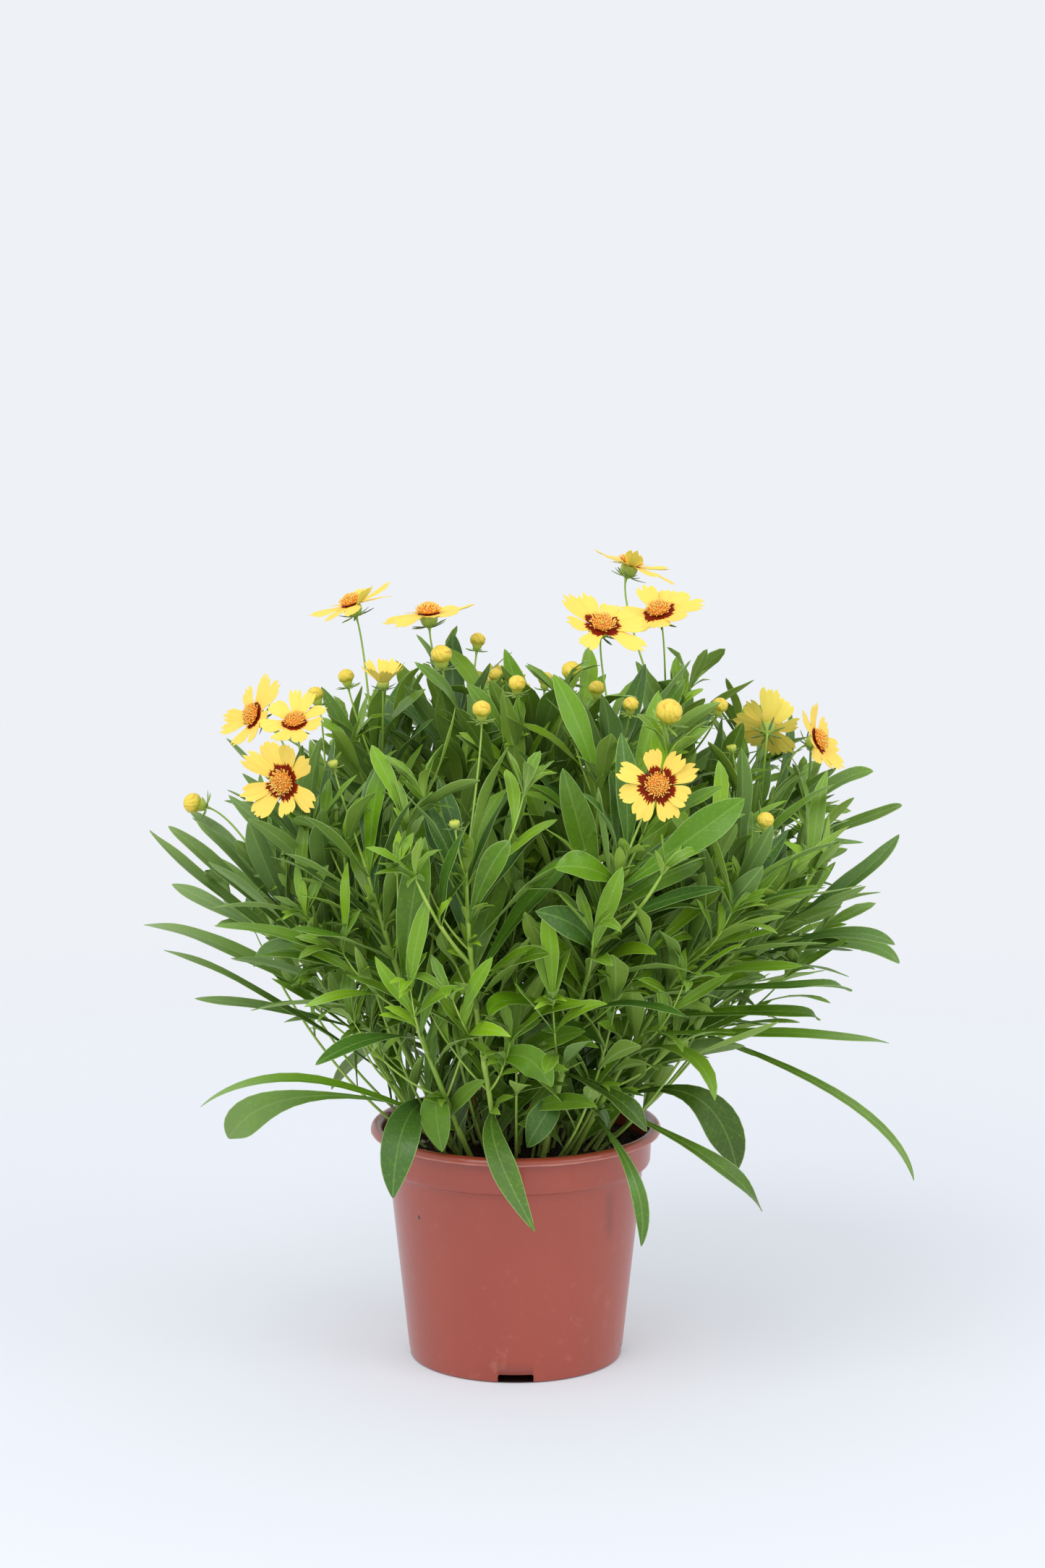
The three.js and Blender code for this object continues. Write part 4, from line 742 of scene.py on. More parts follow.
shoots = []
for i, stem in enumerate(stems):
    base, axis = arch_point(stem["arch"], SHOOT_PLACE), arch_way(stem["arch"], SHOOT_PLACE)
    out = sideways(stem, SHOOT_PLACE, stem["turn"] + (i % 4) * math.pi / 2)
    way = axis * math.cos(SHOOT_LEAN) + out * math.sin(SHOOT_LEAN)
    via = base + way * SHOOT_LENGTH / 2
    tip = via + unit(way + [0, 0, 0.35]) * SHOOT_LENGTH / 2
    arches = [tried_arch(stem, SHOOT_PLACE, via, tip, SHOOT_STEP, k) for k in range(TRIES)]
    tries = [make_limb(arch, SHOOT, draw(i, 22), "shoot") for arch in arches]
    marks = []  # corners of the solid's four-sided shoot: under its two leaf pairs, and at its end
    for limb in tries:
        for t in (*(place - NODE_HALF / limb["length"] for place in SHOOT_PAIRS), 1):
            corner = sideways(limb, t, limb["turn"] - math.pi / 4) * mix(*SHOOT, t)
            marks.append(arch_point(limb["arch"], t) + corner)
    k = grown(marks, corners_of[i])
    if k is not None:
        shoots.append((i, tries[k // 3]))
        take(stem, SHOOT_PLACE, i % 4)

for pair, origin in enumerate(reversed(PAIR_PLACES)):
    height = 1 - pair / (len(PAIR_PLACES) - 1)
    for i, stem in enumerate(stems):
        grow_pair(stem, corners_of[i], origin, height, pair, i * 100 + pair * 2)
for i, (owner, shoot) in enumerate(shoots):
    for pair, origin in enumerate(SHOOT_PAIRS):
        seed = SHOOT_SEED + i * 100 + pair * 2
        grow_pair(shoot, corners_of[owner], origin, 0.7 + 0.3 * pair, pair, seed)

LEAF_STATIONS = np.sin(math.pi / 2 * np.linspace(0, 1, 19)) ** 1.15
LEAF_COLUMNS = np.array([-1, -0.62, -0.2, 0, 0.2, 0.62, 1])


def slabs(top, bottom, finishes=(0, 0), place=None, tone=None):
    """Closed blades from two grids of points (blades, stations, columns, 3), joined at the border."""
    count, stations, columns, _ = top.shape
    grid = np.arange(stations * columns).reshape(stations, columns)
    sheet = np.stack([grid[:-1, :-1], grid[1:, :-1], grid[1:, 1:], grid[:-1, 1:]], axis=-1).reshape(-1, 4)
    border = np.concatenate([grid[:-1, 0], grid[-1, :-1], grid[:0:-1, -1], grid[0, :0:-1]])
    after = np.roll(border, -1)
    rim = np.stack([after, border, border + grid.size, after + grid.size], axis=-1)
    faces = np.concatenate([sheet, sheet[:, ::-1] + grid.size, rim])
    kinds = np.repeat([finishes[0], finishes[1], finishes[0]], [len(sheet), len(sheet), len(rim)])

    def laid(values):
        values = np.broadcast_to(0.0 if values is None else values, top.shape).reshape(count, -1, 3)
        return np.concatenate([values, values], axis=1).reshape(-1, 3)

    both = np.concatenate([top.reshape(count, -1, 3), bottom.reshape(count, -1, 3)], axis=1)
    return {
        "corners": both.reshape(-1, 3),
        "squares": copies(faces, count, 2 * grid.size),
        "triangles": np.empty((0, 3), int),
        "finishes": (np.tile(kinds, count), 0),
        "place": laid(place),
        "tone": laid(tone),
    }


def leaf_blades(leaves, stations, columns, youth, stalk=1.0, finishes=(0, 1)):
    """Lance-shaped blades along their arches, in a grid of s along them and u across them.

    Half the width is width/2 sin(pi s^late)^0.8, late 1.15 to 1.85 and more for a spoon-shaped leaf,
    and a stalk that fades as (1-s)^3. The section is a V that rises at the margins by 0.1 to 0.34 of
    the half width, thickest in the middle, with a furrow above and a rib below. The margins wave, the
    blade twists on its way to the tip, and the tip curls up or down as s^3.
    """
    arches = np.stack([leaf["arch"] for leaf in leaves])
    faces = np.stack([leaf["face"] for leaf in leaves])
    widths = np.array([leaf["width"] for leaf in leaves])[:, None]
    seed = np.array([leaf["seed"] for leaf in leaves], float)[:, None]
    loose = np.array([1.0 if "youth" in leaf else 0.35 for leaf in leaves])[:, None]
    later = np.array([SPOONS.get(leaf["seed"], 0) for leaf in leaves])[:, None]
    s, u = stations[None, :], columns[None, None, :]
    centre, way = arch_point(arches, stations), arch_way(arches, stations)
    up = square_to(faces[:, None], way)
    side = np.cross(up, way)
    twist = (draw(seed, 31) - 0.5) * s**2 + 1.3 * loose * (draw(seed, 30) - 0.5) * np.minimum(1, s * 4)
    cosine, sine = np.cos(twist)[..., None], np.sin(twist)[..., None]
    up, side = up * cosine + side * sine, side * cosine - up * sine
    share = np.sin(math.pi * s ** (later + mix(1.15, 1.85, draw(seed, 40)))) ** 0.8
    half = widths / 2 * share + stalk * (1 - s) ** 3 + 0.06
    fold = mix(0.1, 0.34, draw(seed, 32)) * half * share
    waves_of = [
        0.1 * half * np.sin(2 * math.pi * (mix(1.1, 2.3, draw(seed, kind)) * s + draw(seed, kind + 1)))
        for kind in (33, 35)
    ]
    wave = np.where(u > 0, waves_of[0][..., None], waves_of[1][..., None]) * u**2
    curl = ((0.2 + 1.5 * loose**2) * mix(-0.95, 0.4, draw(seed, 37)) * widths * s**3)[..., None]
    height = fold[..., None] * np.abs(u) ** 1.3 + wave + curl
    thick = 0.32 * np.sqrt(1 - 0.86 * u**2) * np.minimum(1, 0.25 + half / 1.5)[..., None]
    rib = np.exp(-((u * half[..., None] / 0.8) ** 2)) * (1 - 0.8 * s[..., None])
    flat = centre[:, :, None] + side[:, :, None] * (u * half[..., None])[..., None]
    top = flat + up[:, :, None] * (height + thick - 0.22 * rib)[..., None]
    bottom = flat + up[:, :, None] * (height - thick - 0.5 * rib)[..., None]
    place = np.stack(np.broadcast_arrays(u + 0 * s[..., None], s[..., None], half[..., None]), axis=-1)
    young = np.array([leaf.get("youth", leaf.get("pale", youth)) for leaf in leaves])[:, None]
    tone = np.stack(np.broadcast_arrays(draw(seed, 38), young, draw(seed, 39)), axis=-1)
    return slabs(top, bottom, finishes, place, tone[:, :, None])


def tubes(paths, radii, sides, normals, finish=2, place=None, tone=None):
    """Round skins along paths (tubes, points, 3): a circle square to the path round each point."""
    way = unit(np.gradient(paths, axis=1))
    first = square_to(normals[:, None] + 0 * way, way)[:, :, None]
    second = np.cross(way, first[:, :, 0])[:, :, None]
    angle = round_angles(sides)[:, None]
    radii = np.asarray(radii, float)
    radii = radii[..., None] if radii.ndim == 2 else radii
    rings = paths[:, :, None] + radii[..., None] * (first * np.cos(angle) + second * np.sin(angle))
    return skins(rings, finish, place, tone)


def limb_skin(limb, sides, seed):
    """A stem that thins to its tip and swells at each joint by 1 + 0.35 exp(-(gap/2.6)^2)."""
    is_stem = limb["kind"] == "stem"
    t = np.linspace(0, 1, 34 if is_stem else 18)
    end = 0.5 if is_stem else 0.75
    radius = mix(*limb["radii"], t) * 0.76 * (1 - end * np.clip((t - 0.8) / 0.2, 0, 1) ** 2)
    for origin, _ in limb["taken"]:
        radius = radius * (1 + 0.35 * np.exp(-(((t - origin) * limb["length"] / 2.6) ** 2)))
    place = np.stack([0 * t, t, radius], axis=-1)[None, :, None]
    tone = [float(draw(seed, 71)), 0.0 if is_stem else 0.5, 0.0]
    path, plane = arch_point(limb["arch"], t)[None], arch_plane(limb["arch"])[None]
    return tubes(path, radius[None], sides, plane, 2, place, tone)


CUP_OUTLINE = [
    (-8.2, 0.95), (-7.6, 1.9), (-6.6, 3.4), (-5.2, 4.7), (-3.6, 5.4), (-2, 5.6), (-0.7, 5.4), (0, 4.9),
]
BUD_CUP_OUTLINE = [
    (-5.6, 0.95), (-5.1, 1.7), (-4.3, 2.7), (-3.3, 3.5), (-2.2, 4.1), (-1.2, 4.5), (-0.3, 5), (0.5, 5.5),
    (0.9, 5.3),
]
CUP_SIDES = 32


def head_frame(at, face):
    """A head's middle and its three ways: the first is level, and the first two are square to the axis."""
    axis = unit(np.array(face, float))
    level = np.array([-axis[1], axis[0], 0])
    first = unit(level) if np.linalg.norm(level) > 0.05 else np.array([1.0, 0, 0])
    return np.array(at, float), first, unit(np.cross(axis, first)), axis


def spun(at, face, radius, angle, height):
    """Points at a radius, angle and height in a head's own frame."""
    centre, first, second, axis = head_frame(at, face)
    radius, angle, height = np.broadcast_arrays(radius, angle, height)
    radius, angle, height = radius[..., None], angle[..., None], height[..., None]
    return centre + first * radius * np.cos(angle) + second * radius * np.sin(angle) + axis * height


def cup(at, face, top, size, depth, seed):
    """The green globe under a head: a turned outline cut by eight grooves, |sin 4a|, into inner bracts."""
    outline, teeth = (BUD_CUP_OUTLINE, 2.4) if depth == SHALLOW_CUP else (CUP_OUTLINE, 1.3)
    height, radius = np.array(outline).T
    angle = round_angles(CUP_SIDES)
    lobe = np.abs(np.sin(4 * angle + 0.4)) ** 0.5
    swell = 0.86 + 0.14 * lobe
    rim = np.clip((height + 3) / 3, 0, 1)[:, None]
    heights = top + size * (height[:, None] + teeth * rim * (lobe - 0.5))
    rings = spun(at, face, size * radius[:, None] * swell, angle, heights)
    place = np.stack(np.broadcast_arrays(lobe[None], -height[:, None] / 8.2, size), axis=-1)
    return skins(rings[None], 3, place[None], [float(draw(seed, 72)), 0.0, 1.0])


def outer_bracts(at, face, top, size, depth, index):
    """Eight narrow leaves that spread from under the cup, each with its own reach and droop.

    Under a closed bud they are wider and paler.
    """
    ray = np.arange(8)
    angle = 2 * math.pi * ray / 8 + math.pi / 8
    reach = size * 11.5 * (0.85 + 0.3 * draw(index * 10 + ray, 5))
    droop = top - size * depth * (0.35 + 0.5 * draw(index * 10 + ray, 6))
    foot = top - 0.8 * depth * size
    start = spun(at, face, 2.6 * size, angle, foot)
    via = spun(at, face, 0.52 * reach, angle, mix(foot, droop, 0.4) - 0.6)
    tip = spun(at, face, reach, angle, droop)
    wide, pale = (1.7, 0.4) if depth == SHALLOW_CUP else (1.3, 0.0)
    kind = {"face": unit(np.array(face, float)), "width": wide * size, "pale": pale}
    arches = [arch_through(start[i], via[i], tip[i]) for i in ray]
    return [{"arch": arch, "seed": 700 + index * 8 + i, **kind} for i, arch in enumerate(arches)]


def leaf_finish(name, dark, mid, young, cool, gloss, rib_share):
    """Leaf skin in clouds of two greens, with a pale midrib and margin, side veins and pale specks.

    Some leaves are cooler and the young ones lighter. Painted shade darkens the skin low down near
    the plant's axis, and painted light makes it paler out on its flanks, most of all on the left one,
    and a little low down away from the axis.
    """
    skin = Finish(name, Specular_IOR_Level=0.36, Roughness=gloss)
    u, s, half = skin.mark("place")
    chance, youth, other = skin.mark("tone")
    spot = skin.place()
    across, _, level = skin.split(spot)
    wide = skin.reckon("ABSOLUTE", u)
    clouds = skin.cloud(spot, 70, 3)
    share = skin.reckon("ADD", skin.times(chance, 0.75), skin.times(clouds, 0.45))
    colour = skin.blend(skin.ease(share, 0.15, 0.95), tint(*dark), tint(*mid))
    colour = skin.blend(skin.ease(other, 0.35, 0.8, 0, 0.85), colour, tint(*cool))
    colour = skin.blend(skin.times(youth, 0.8), colour, tint(*young))

    # Painted shade: the skin is darker low down near the plant's axis.
    outward = skin.gap(skin.stretched(spot, (1, 1, 0)))
    shade = skin.times(skin.ease(level, 0.16, 0.27, 0.5, 0), skin.ease(outward, 0.07, 0.115, 1, 0))
    colour = skin.blend(shade, colour, tint(*dark))
    # Painted light: the skin is paler out on the flanks, most on the left, and a little low down away from
    # the axis.
    low = skin.times(skin.ease(level, 0.15, 0.28, 0.08, 0), skin.reckon("SUBTRACT", 1, shade))
    left, right = skin.ease(across, -0.235, -0.1, 0.62, 0), skin.ease(across, 0.15, 0.24, 0, 0.2)
    painted_light = skin.reckon("ADD", skin.reckon("ADD", left, right), low)
    colour = skin.blend(skin.reckon("MINIMUM", painted_light, 0.7), colour, tint(146, 172, 106))
    colour = skin.blend(skin.ease(skin.cloud(spot, 420, 4), 0.45, 0.75, 0, 0.12), colour, tint(*young))

    vein = skin.reckon("FRACT", skin.reckon("SUBTRACT", skin.times(s, 13), skin.times(wide, 1.6)))
    vein = skin.ease(skin.reckon("ABSOLUTE", skin.reckon("SUBTRACT", vein, 0.5)), 0.0, 0.07, 1, 0)
    vein = skin.times(vein, skin.ease(half, 2.0, 4.5), skin.ease(wide, 0.75, 0.95, 1, 0))
    colour = skin.blend(skin.times(vein, 0.1), colour, tint(*young))
    rib = skin.ease(skin.times(wide, half), 0.28, 0.75, 1, 0)
    colour = skin.blend(skin.times(rib, rib_share), colour, tint(158, 186, 106))
    margin = skin.ease(skin.times(skin.reckon("SUBTRACT", 1, wide), half), 0.16, 0.6, 1, 0)
    margin = skin.times(margin, skin.ease(half, 1.2, 2.5), 0.6)
    colour = skin.blend(margin, colour, tint(166, 192, 114))
    colour = skin.blend(skin.ease(skin.cloud(spot, 900, 1), 0.76, 0.8, 0, 0.5), colour, tint(200, 205, 160))
    skin.give(Base_Color=colour, Roughness=skin.ease(clouds, 0.3, 0.7, gloss - 0.06, gloss + 0.08))
    height = skin.reckon("ADD", skin.times(skin.cloud(spot, 520, 3), 0.6), skin.times(vein, -0.15))
    skin.relief(height, 0.0005, 0.5)
    return skin.material


leaf_top = leaf_finish(
    "leaf_upper_face", (16, 54, 0), (92, 140, 4), (148, 190, 26), (32, 82, 34), 0.4, 0.22)
leaf_under = leaf_finish(
    "leaf_lower_face", (88, 124, 34), (128, 160, 60), (158, 190, 62), (104, 138, 80), 0.55, 0.55)

stem_skin = Finish("stem_skin", Roughness=0.45, Specular_IOR_Level=0.45)
chance, _, _ = stem_skin.mark("tone")
spot = stem_skin.place()
clouds = stem_skin.cloud(stem_skin.stretched(spot, (1, 1, 0.2)), 160, 3)
colour = stem_skin.blend(clouds, tint(146, 184, 62), tint(192, 216, 106))
colour = stem_skin.blend(stem_skin.times(chance, 0.4), colour, tint(104, 150, 50))
level = stem_skin.split(spot)[2]
colour = stem_skin.blend(stem_skin.ease(level, 0.13, 0.19, 0.4, 0), colour, tint(120, 110, 60))
stem_skin.give(Base_Color=colour)
stem_skin.relief(stem_skin.cloud(stem_skin.stretched(spot, (1, 1, 0.06)), 900, 2), 0.0003, 0.6)

bract_skin = Finish("bract_skin", Roughness=0.5, Specular_IOR_Level=0.4)
lobe, down, _ = bract_skin.mark("place")
_, pale, inner_share = bract_skin.mark("tone")
spot = bract_skin.place()
clouds = bract_skin.cloud(spot, 300, 3)
thin_green = bract_skin.blend(clouds, tint(66, 92, 66), tint(102, 130, 92))
cup_green = bract_skin.blend(clouds, tint(146, 178, 64), tint(190, 208, 100))
# Painted shade: the cup is darker in the grooves between its lobes.
cup_green = bract_skin.blend(bract_skin.ease(lobe, 0.25, 0.75, 0.35, 0), cup_green, tint(84, 120, 34))
cup_green = bract_skin.blend(bract_skin.ease(down, 0.0, 0.5, 0.7, 0), cup_green, tint(206, 206, 84))
colour = bract_skin.blend(inner_share, thin_green, cup_green)
colour = bract_skin.blend(pale, colour, tint(160, 190, 88))
bract_skin.give(Base_Color=colour)
bract_skin.relief(bract_skin.cloud(spot, 1500, 2), 0.0002, 0.5)

greens = [leaf_top, leaf_under, stem_skin.material, bract_skin.material]

# ---------------------------------------------------------------------------------- young growth
# Between the pairs of full leaves the plant fills itself: younger pairs, thin leafy twigs from
# the axils, and thinner stems that stand between the main ones. Each grows only where there is room.

CELL, ROOM_LOW, ROOM_CELLS = 3.0, np.array([-262.0, -196.0, 116.0]), (176, 132, 140)
room = np.zeros(ROOM_CELLS, bool)
MOUND = {"x": 8, "z": 155, "half_width": 240, "half_depth": 180, "height": 318, "left": 1.34}
SKIRT = {"reach": 55, "level": 170, "left": 136, "right": 96, "run": 62, "front": 24}
FILL_PLACES = (0.3, 0.36, 0.41, 0.5, 0.545, 0.615, 0.665, 0.735, 0.765, 0.825, 0.89, 0.94)
TWIG_PLACES, TWIG_PAIRS = (0.26, 0.38, 0.52, 0.69, 0.81), (0.97, 0.72, 0.45)
INNER_PAIRS, LOW_PAIRS = (0.26, 0.38, 0.5, 0.6, 0.69, 0.78, 0.86, 0.93, 0.99), (0.1, 0.17)
TWIG, TWIG_LEAN, INNER_STEM = (1.05, 0.7), 0.56, (1.4, 0.85)  # radius at foot and top; radians
INNER_STEMS, INNER_ROOT, TRIES_HERE = 46, 132, 7
GAP_TOPS = [(-72, 58, 402), (-54, 80, 400), (-86, 44, 388)]  # three more, where the crown would be thin
BACK_BLOOM = 12  # the one head that leaves may hide from the front
GOLDEN_TURN = 2.39996
FILL_STEP, TWIG_STEP = 13, 14  # degrees by which each try is swung on
FILL_SEED, TWIG_SEED, TWIG_LEAF_SEED, INNER_SEED, LOW_SEED = 20000, 30000, 70000, 50000, 60000


def cells(points):
    """The coarse cells, 3 on a side, that points lie in."""
    found = ((points.reshape(-1, 3) - ROOM_LOW) / CELL).astype(int)
    return tuple(found[np.all((found >= 0) & (found < room.shape), axis=1)].T)


def crowding(points):
    """The share of points that lie in taken cells."""
    taken = room[cells(points)]
    return taken.mean() if taken.size else 1.0


def leaf_points(arch, face, width, stations, columns):
    """Points on a leaf's flat blade: arch + side x column x half the width."""
    s = np.linspace(0.1, 1, stations)
    way = arch_way(arch, s)
    side = np.cross(square_to(face + 0 * way, way), way)
    half = width / 2 * np.sin(math.pi * s**1.25) ** 1.15 + 0.6
    u = np.linspace(-1, 1, columns)
    return arch_point(arch, s)[:, None] + side[:, None] * (u * half[:, None])[..., None]


def is_in_mound(place):
    """Whether a place lies in the plant's outline: a round box, over a skirt that rises outward.

    The sum of the cubes of its shares of the mound's half width, half depth and height is under one.
    The skirt rises from its level by left or right x (1 - exp(-distance/run)), and is lower in front.
    """
    side = "left" if place[0] < 0 else "right"
    across = (place[0] - MOUND["x"]) / MOUND["half_width"] * MOUND.get(side, 1)
    shares = np.array([across, place[1] / MOUND["half_depth"], (place[2] - MOUND["z"]) / MOUND["height"]])
    beyond = max(0, math.hypot(place[0], 0.8 * place[1]) - SKIRT["reach"])
    below = SKIRT["level"] + SKIRT[side] * (1 - math.exp(-beyond / SKIRT["run"]))
    below = below - (SKIRT["front"] if place[1] < 0 else 0)
    return np.sum(np.abs(shares) ** 3) < 1 and place[2] > below


def fill_leaf(limb, origin, height, side, seed, shrink, limit, youth):
    """A leaf by the same rule wherever it crosses few taken cells, or none."""
    via, tip, width, face = rule_leaf(limb, origin, height, side, seed)
    if tip[0] < -45 and tip[2] < 305 and draw(seed, 60) < 0.6:  # the left flank stays thinner
        return
    base, axis = arch_point(limb["arch"], origin), arch_way(limb["arch"], origin)
    via, tip = base + (via - base) * shrink, base + (tip - base) * shrink
    width = width * shrink
    for k in range(TRIES_HERE):
        arch = tried_arch(limb, origin, via, tip, FILL_STEP, k)
        turned = swing(face, np.zeros(3), axis, FILL_STEP, k)
        if is_in_mound(arch[2]) and crowding(leaf_points(arch, turned, width, 14, 3)[2:]) <= limit:
            room[cells(leaf_points(arch, turned, width, 40, 7))] = True
            leaf = {"arch": arch, "face": turned, "width": width, "seed": seed, "youth": youth}
            limb["leaves"].append(leaf)
            return


def twig_from(stem, origin, side, seed, length):
    """A thin side twig that leaves its stem at some 32 degrees and turns up, where there is room."""
    base, axis = arch_point(stem["arch"], origin), arch_way(stem["arch"], origin)
    out = sideways(stem, origin, stem["turn"] + side * math.pi / 2)
    way = axis * math.cos(TWIG_LEAN) + out * math.sin(TWIG_LEAN)
    via = base + way * length / 2
    tip = via + unit(way + [0, 0, 0.5]) * length / 2
    for k in range(TRIES_HERE):
        arch = tried_arch(stem, origin, via, tip, TWIG_STEP, k)
        path = arch_point(arch, np.linspace(0.12, 1, 24))
        if is_in_mound(arch[2]) and crowding(path) <= 0.16:
            room[cells(path)] = True
            return make_limb(arch, TWIG, 6.3 * draw(seed, 22), "twig")
    return None


def tuft(limb, origin, side, seed, length, youth):
    """Two or three small leaves in an axil: slim blades that stand close to the stem."""
    base, axis = arch_point(limb["arch"], origin), arch_way(limb["arch"], origin)
    made = []
    for i in range(3 if draw(seed, 51) > 0.5 else 2):
        out = sideways(limb, origin, limb["turn"] + side * math.pi / 2 + 1.5 * (draw(seed + i, 52) - 0.5))
        lean = 0.3 + 0.45 * draw(seed + i, 53)
        way = axis * math.cos(lean) + out * math.sin(lean)
        long = length * (0.55 + 0.6 * draw(seed + i, 54))
        via = base + way * long / 2
        arch = arch_through(base, via, via + unit(way + 0.35 * out) * long / 2)
        made.append({"arch": arch, "face": axis, "width": long * 0.23, "seed": seed + i, "youth": youth})
    return made


for _, limb in [*enumerate(stems), *shoots]:
    room[cells(arch_point(limb["arch"], np.linspace(0, 1, 160)))] = True
    for leaf in limb["leaves"]:
        room[cells(leaf_points(leaf["arch"], leaf["face"], leaf["width"], 44, 9))] = True
for arch in stalks:
    room[cells(arch_point(arch, np.linspace(0, 1, 60)))] = True
disc_share, disc_angle = np.sqrt(np.linspace(0.02, 1, 90)), GOLDEN_TURN * np.arange(90)
for index, (_, _, at, face, _, size, _) in enumerate(heads):
    wide = 27 if index < len(BLOOMS) else 8
    for way in (face,) if index == BACK_BLOOM else (face, FRONT):
        for height in np.arange(-6, 66, 2.5):
            reach = wide * size * (1 if way is face and height < 12 else 0.72)
            room[cells(spun(at, way, reach * disc_share, disc_angle, height))] = True

for i, stem in enumerate(stems):
    for level, origin in reversed(list(enumerate(FILL_PLACES))):
        height = min(1, max(0, (origin - 0.25) / 0.7))
        for half in (0.5, 2.5) if (level + i) % 2 else (1.5, 3.5):
            seed = FILL_SEED + i * 200 + level * 8 + int(half)
            shrink, youth = 0.72 + 0.3 * draw(seed, 17), 0.15 + 0.4 * draw(seed, 18)
            fill_leaf(stem, origin, height, half, seed, shrink, 0.04, youth)

twigs = []
for i, stem in enumerate(stems):
    for level, origin in enumerate(TWIG_PLACES):
        for half in (0.25, 2.25) if (level + i) % 2 else (1.25, 3.25):
            number = i * 200 + level * 8 + int(half)
            length = 52 + 46 * draw(TWIG_SEED + number, 19)
            twig = twig_from(stem, origin, half, TWIG_SEED + number, length)
            if not twig:
                continue
            twigs.append((i, twig))
            for pair, place in enumerate(TWIG_PAIRS):
                for side in (0, 2):
                    seed = TWIG_LEAF_SEED + number + pair * 20 + side * 3
                    shrink, youth = 0.75 - 0.12 * pair, 0.35 + 0.4 * draw(seed, 18)
                    fill_leaf(twig, place, 0.75, side + pair % 2, seed, shrink, 0.06, youth)

inner = []
for j in range(INNER_STEMS + len(GAP_TOPS)):
    turn, share = GOLDEN_TURN * j, math.sqrt((j + 0.5) / INNER_STEMS)
    ahead, beside = math.cos(turn), math.sin(turn)
    root = np.array([(12 + 40 * share) * ahead, (12 + 34 * share) * beside, INNER_ROOT])
    top = np.array([188 * share * ahead, 128 * share * beside, 372 - 110 * share**2 + 24 * draw(j, 23)])
    if j >= INNER_STEMS:
        share, top = 0.4, np.array(GAP_TOPS[j - INNER_STEMS], float)
        root = np.array([0.25 * top[0], 0.3 * top[1], INNER_ROOT])
    via = mix(root, top, 0.5) + [9 * ahead, 9 * beside, 14 - 30 * share]
    limb = make_limb(arch_through(root, via, top), INNER_STEM, 6.3 * draw(j, 24), "twig")
    path = arch_point(limb["arch"], np.linspace(0.1, 1, 60))
    if crowding(path) > 0.3:
        continue
    room[cells(path)] = True
    inner.append(limb)
    for level, origin in reversed(list(enumerate(INNER_PAIRS))):
        for half in (0, 2) if level % 2 else (1, 3):
            seed = INNER_SEED + j * 100 + level * 4 + half
            shrink, youth = 0.6 + 0.3 * draw(seed, 17), 0.2 + 0.5 * draw(seed, 18)
            fill_leaf(limb, origin, level / 8, half, seed, shrink, 0.06, youth)

for j, limb in enumerate(inner):
    for level, origin in enumerate(LOW_PAIRS):
        for half in (0, 2) if (level + j) % 2 else (1, 3):
            seed = LOW_SEED + j * 100 + level * 4 + half
            shrink, youth = 0.55 + 0.25 * draw(seed, 17), 0.1 + 0.4 * draw(seed, 18)
            fill_leaf(limb, origin, 0.3, half, seed, shrink, 0.12, youth)

SMALL_STATIONS = np.array([0, 0.1, 0.24, 0.4, 0.56, 0.7, 0.82, 0.91, 0.97, 1])
SMALL_COLUMNS = np.array([-1, -0.5, 0, 0.5, 1])
SLIM_STATIONS, SLIM_COLUMNS = np.array([0, 0.2, 0.45, 0.7, 0.9, 1]), np.array([-1, 0, 1])


def fill_parts(limbs):
    """The young blades and tufts of a few limbs, in coarser grids than the full leaves."""
    young = [leaf for limb in limbs for leaf in limb["leaves"] if "youth" in leaf]
    tufts = []
    for limb in limbs:
        for joint, (origin, taken) in enumerate(limb["taken"] or [(0.97, {0, 2}), (0.6, {1})]):
            for side in taken:
                seed = int(limb["length"] * 37) + joint * 7 + side
                if origin < 0.99 and draw(seed, 55) < 0.7:
                    tufts += tuft(limb, origin, side, seed, 26, 0.95)
        if limb["kind"] != "stem":
            for side in (0, 2):
                tufts += tuft(limb, 0.98, side, int(limb["length"] * 53) + side, 34, 0.45)
    parts = [leaf_blades(tufts, SLIM_STATIONS, SLIM_COLUMNS, 0.0, 0.5)] if tufts else []
    return parts + ([leaf_blades(young, SMALL_STATIONS, SMALL_COLUMNS, 0.0, 0.8)] if young else [])


def head_parts(index):
    """A head's stalk, its green cup and its outer bracts."""
    _, _, at, face, top, size, depth = heads[index]
    arch, t = stalks[index], np.linspace(0, 1, 14)
    radius = mix(0.6 * STALK[0], 0.56 * STALK[1], t) + 0.5 * np.exp(-(((1 - t) * 20) ** 2))
    tone = [float(draw(index, 73)), 0.3, 0]
    stalk = tubes(arch_point(arch, t)[None], radius[None], 8, arch_plane(arch)[None], 2, None, tone)
    bracts = outer_bracts(at, face, top, size, depth, head_numbers[index])
    return stalk, cup(at, face, top, size, depth, index), bracts


for i, stem in enumerate(stems):
    limbs = [stem] + [limb for owner, limb in shoots + twigs if owner == i]
    parts = [limb_skin(stem, 10, i)] + [limb_skin(limb, 8, 50 + i) for limb in limbs[1:]]
    leaves = [leaf for limb in limbs for leaf in limb["leaves"] if "youth" not in leaf]
    parts.append(leaf_blades(leaves, LEAF_STATIONS, LEAF_COLUMNS, 0.12))
    parts += fill_parts(limbs)
    bracts = []
    for index in [index for index, (owner, *_) in enumerate(heads) if owner == i]:
        stalk, green_cup, spread = head_parts(index)
        parts += [stalk, green_cup]
        bracts += spread
    if bracts:
        parts.append(leaf_blades(bracts, SLIM_STATIONS, SLIM_COLUMNS, 0.0, 0.5, (3, 3)))
    piece(f"stem_and_leaves_{i + 1:02d}", parts, greens, f"leafy_stem_{i + 1:02d}")

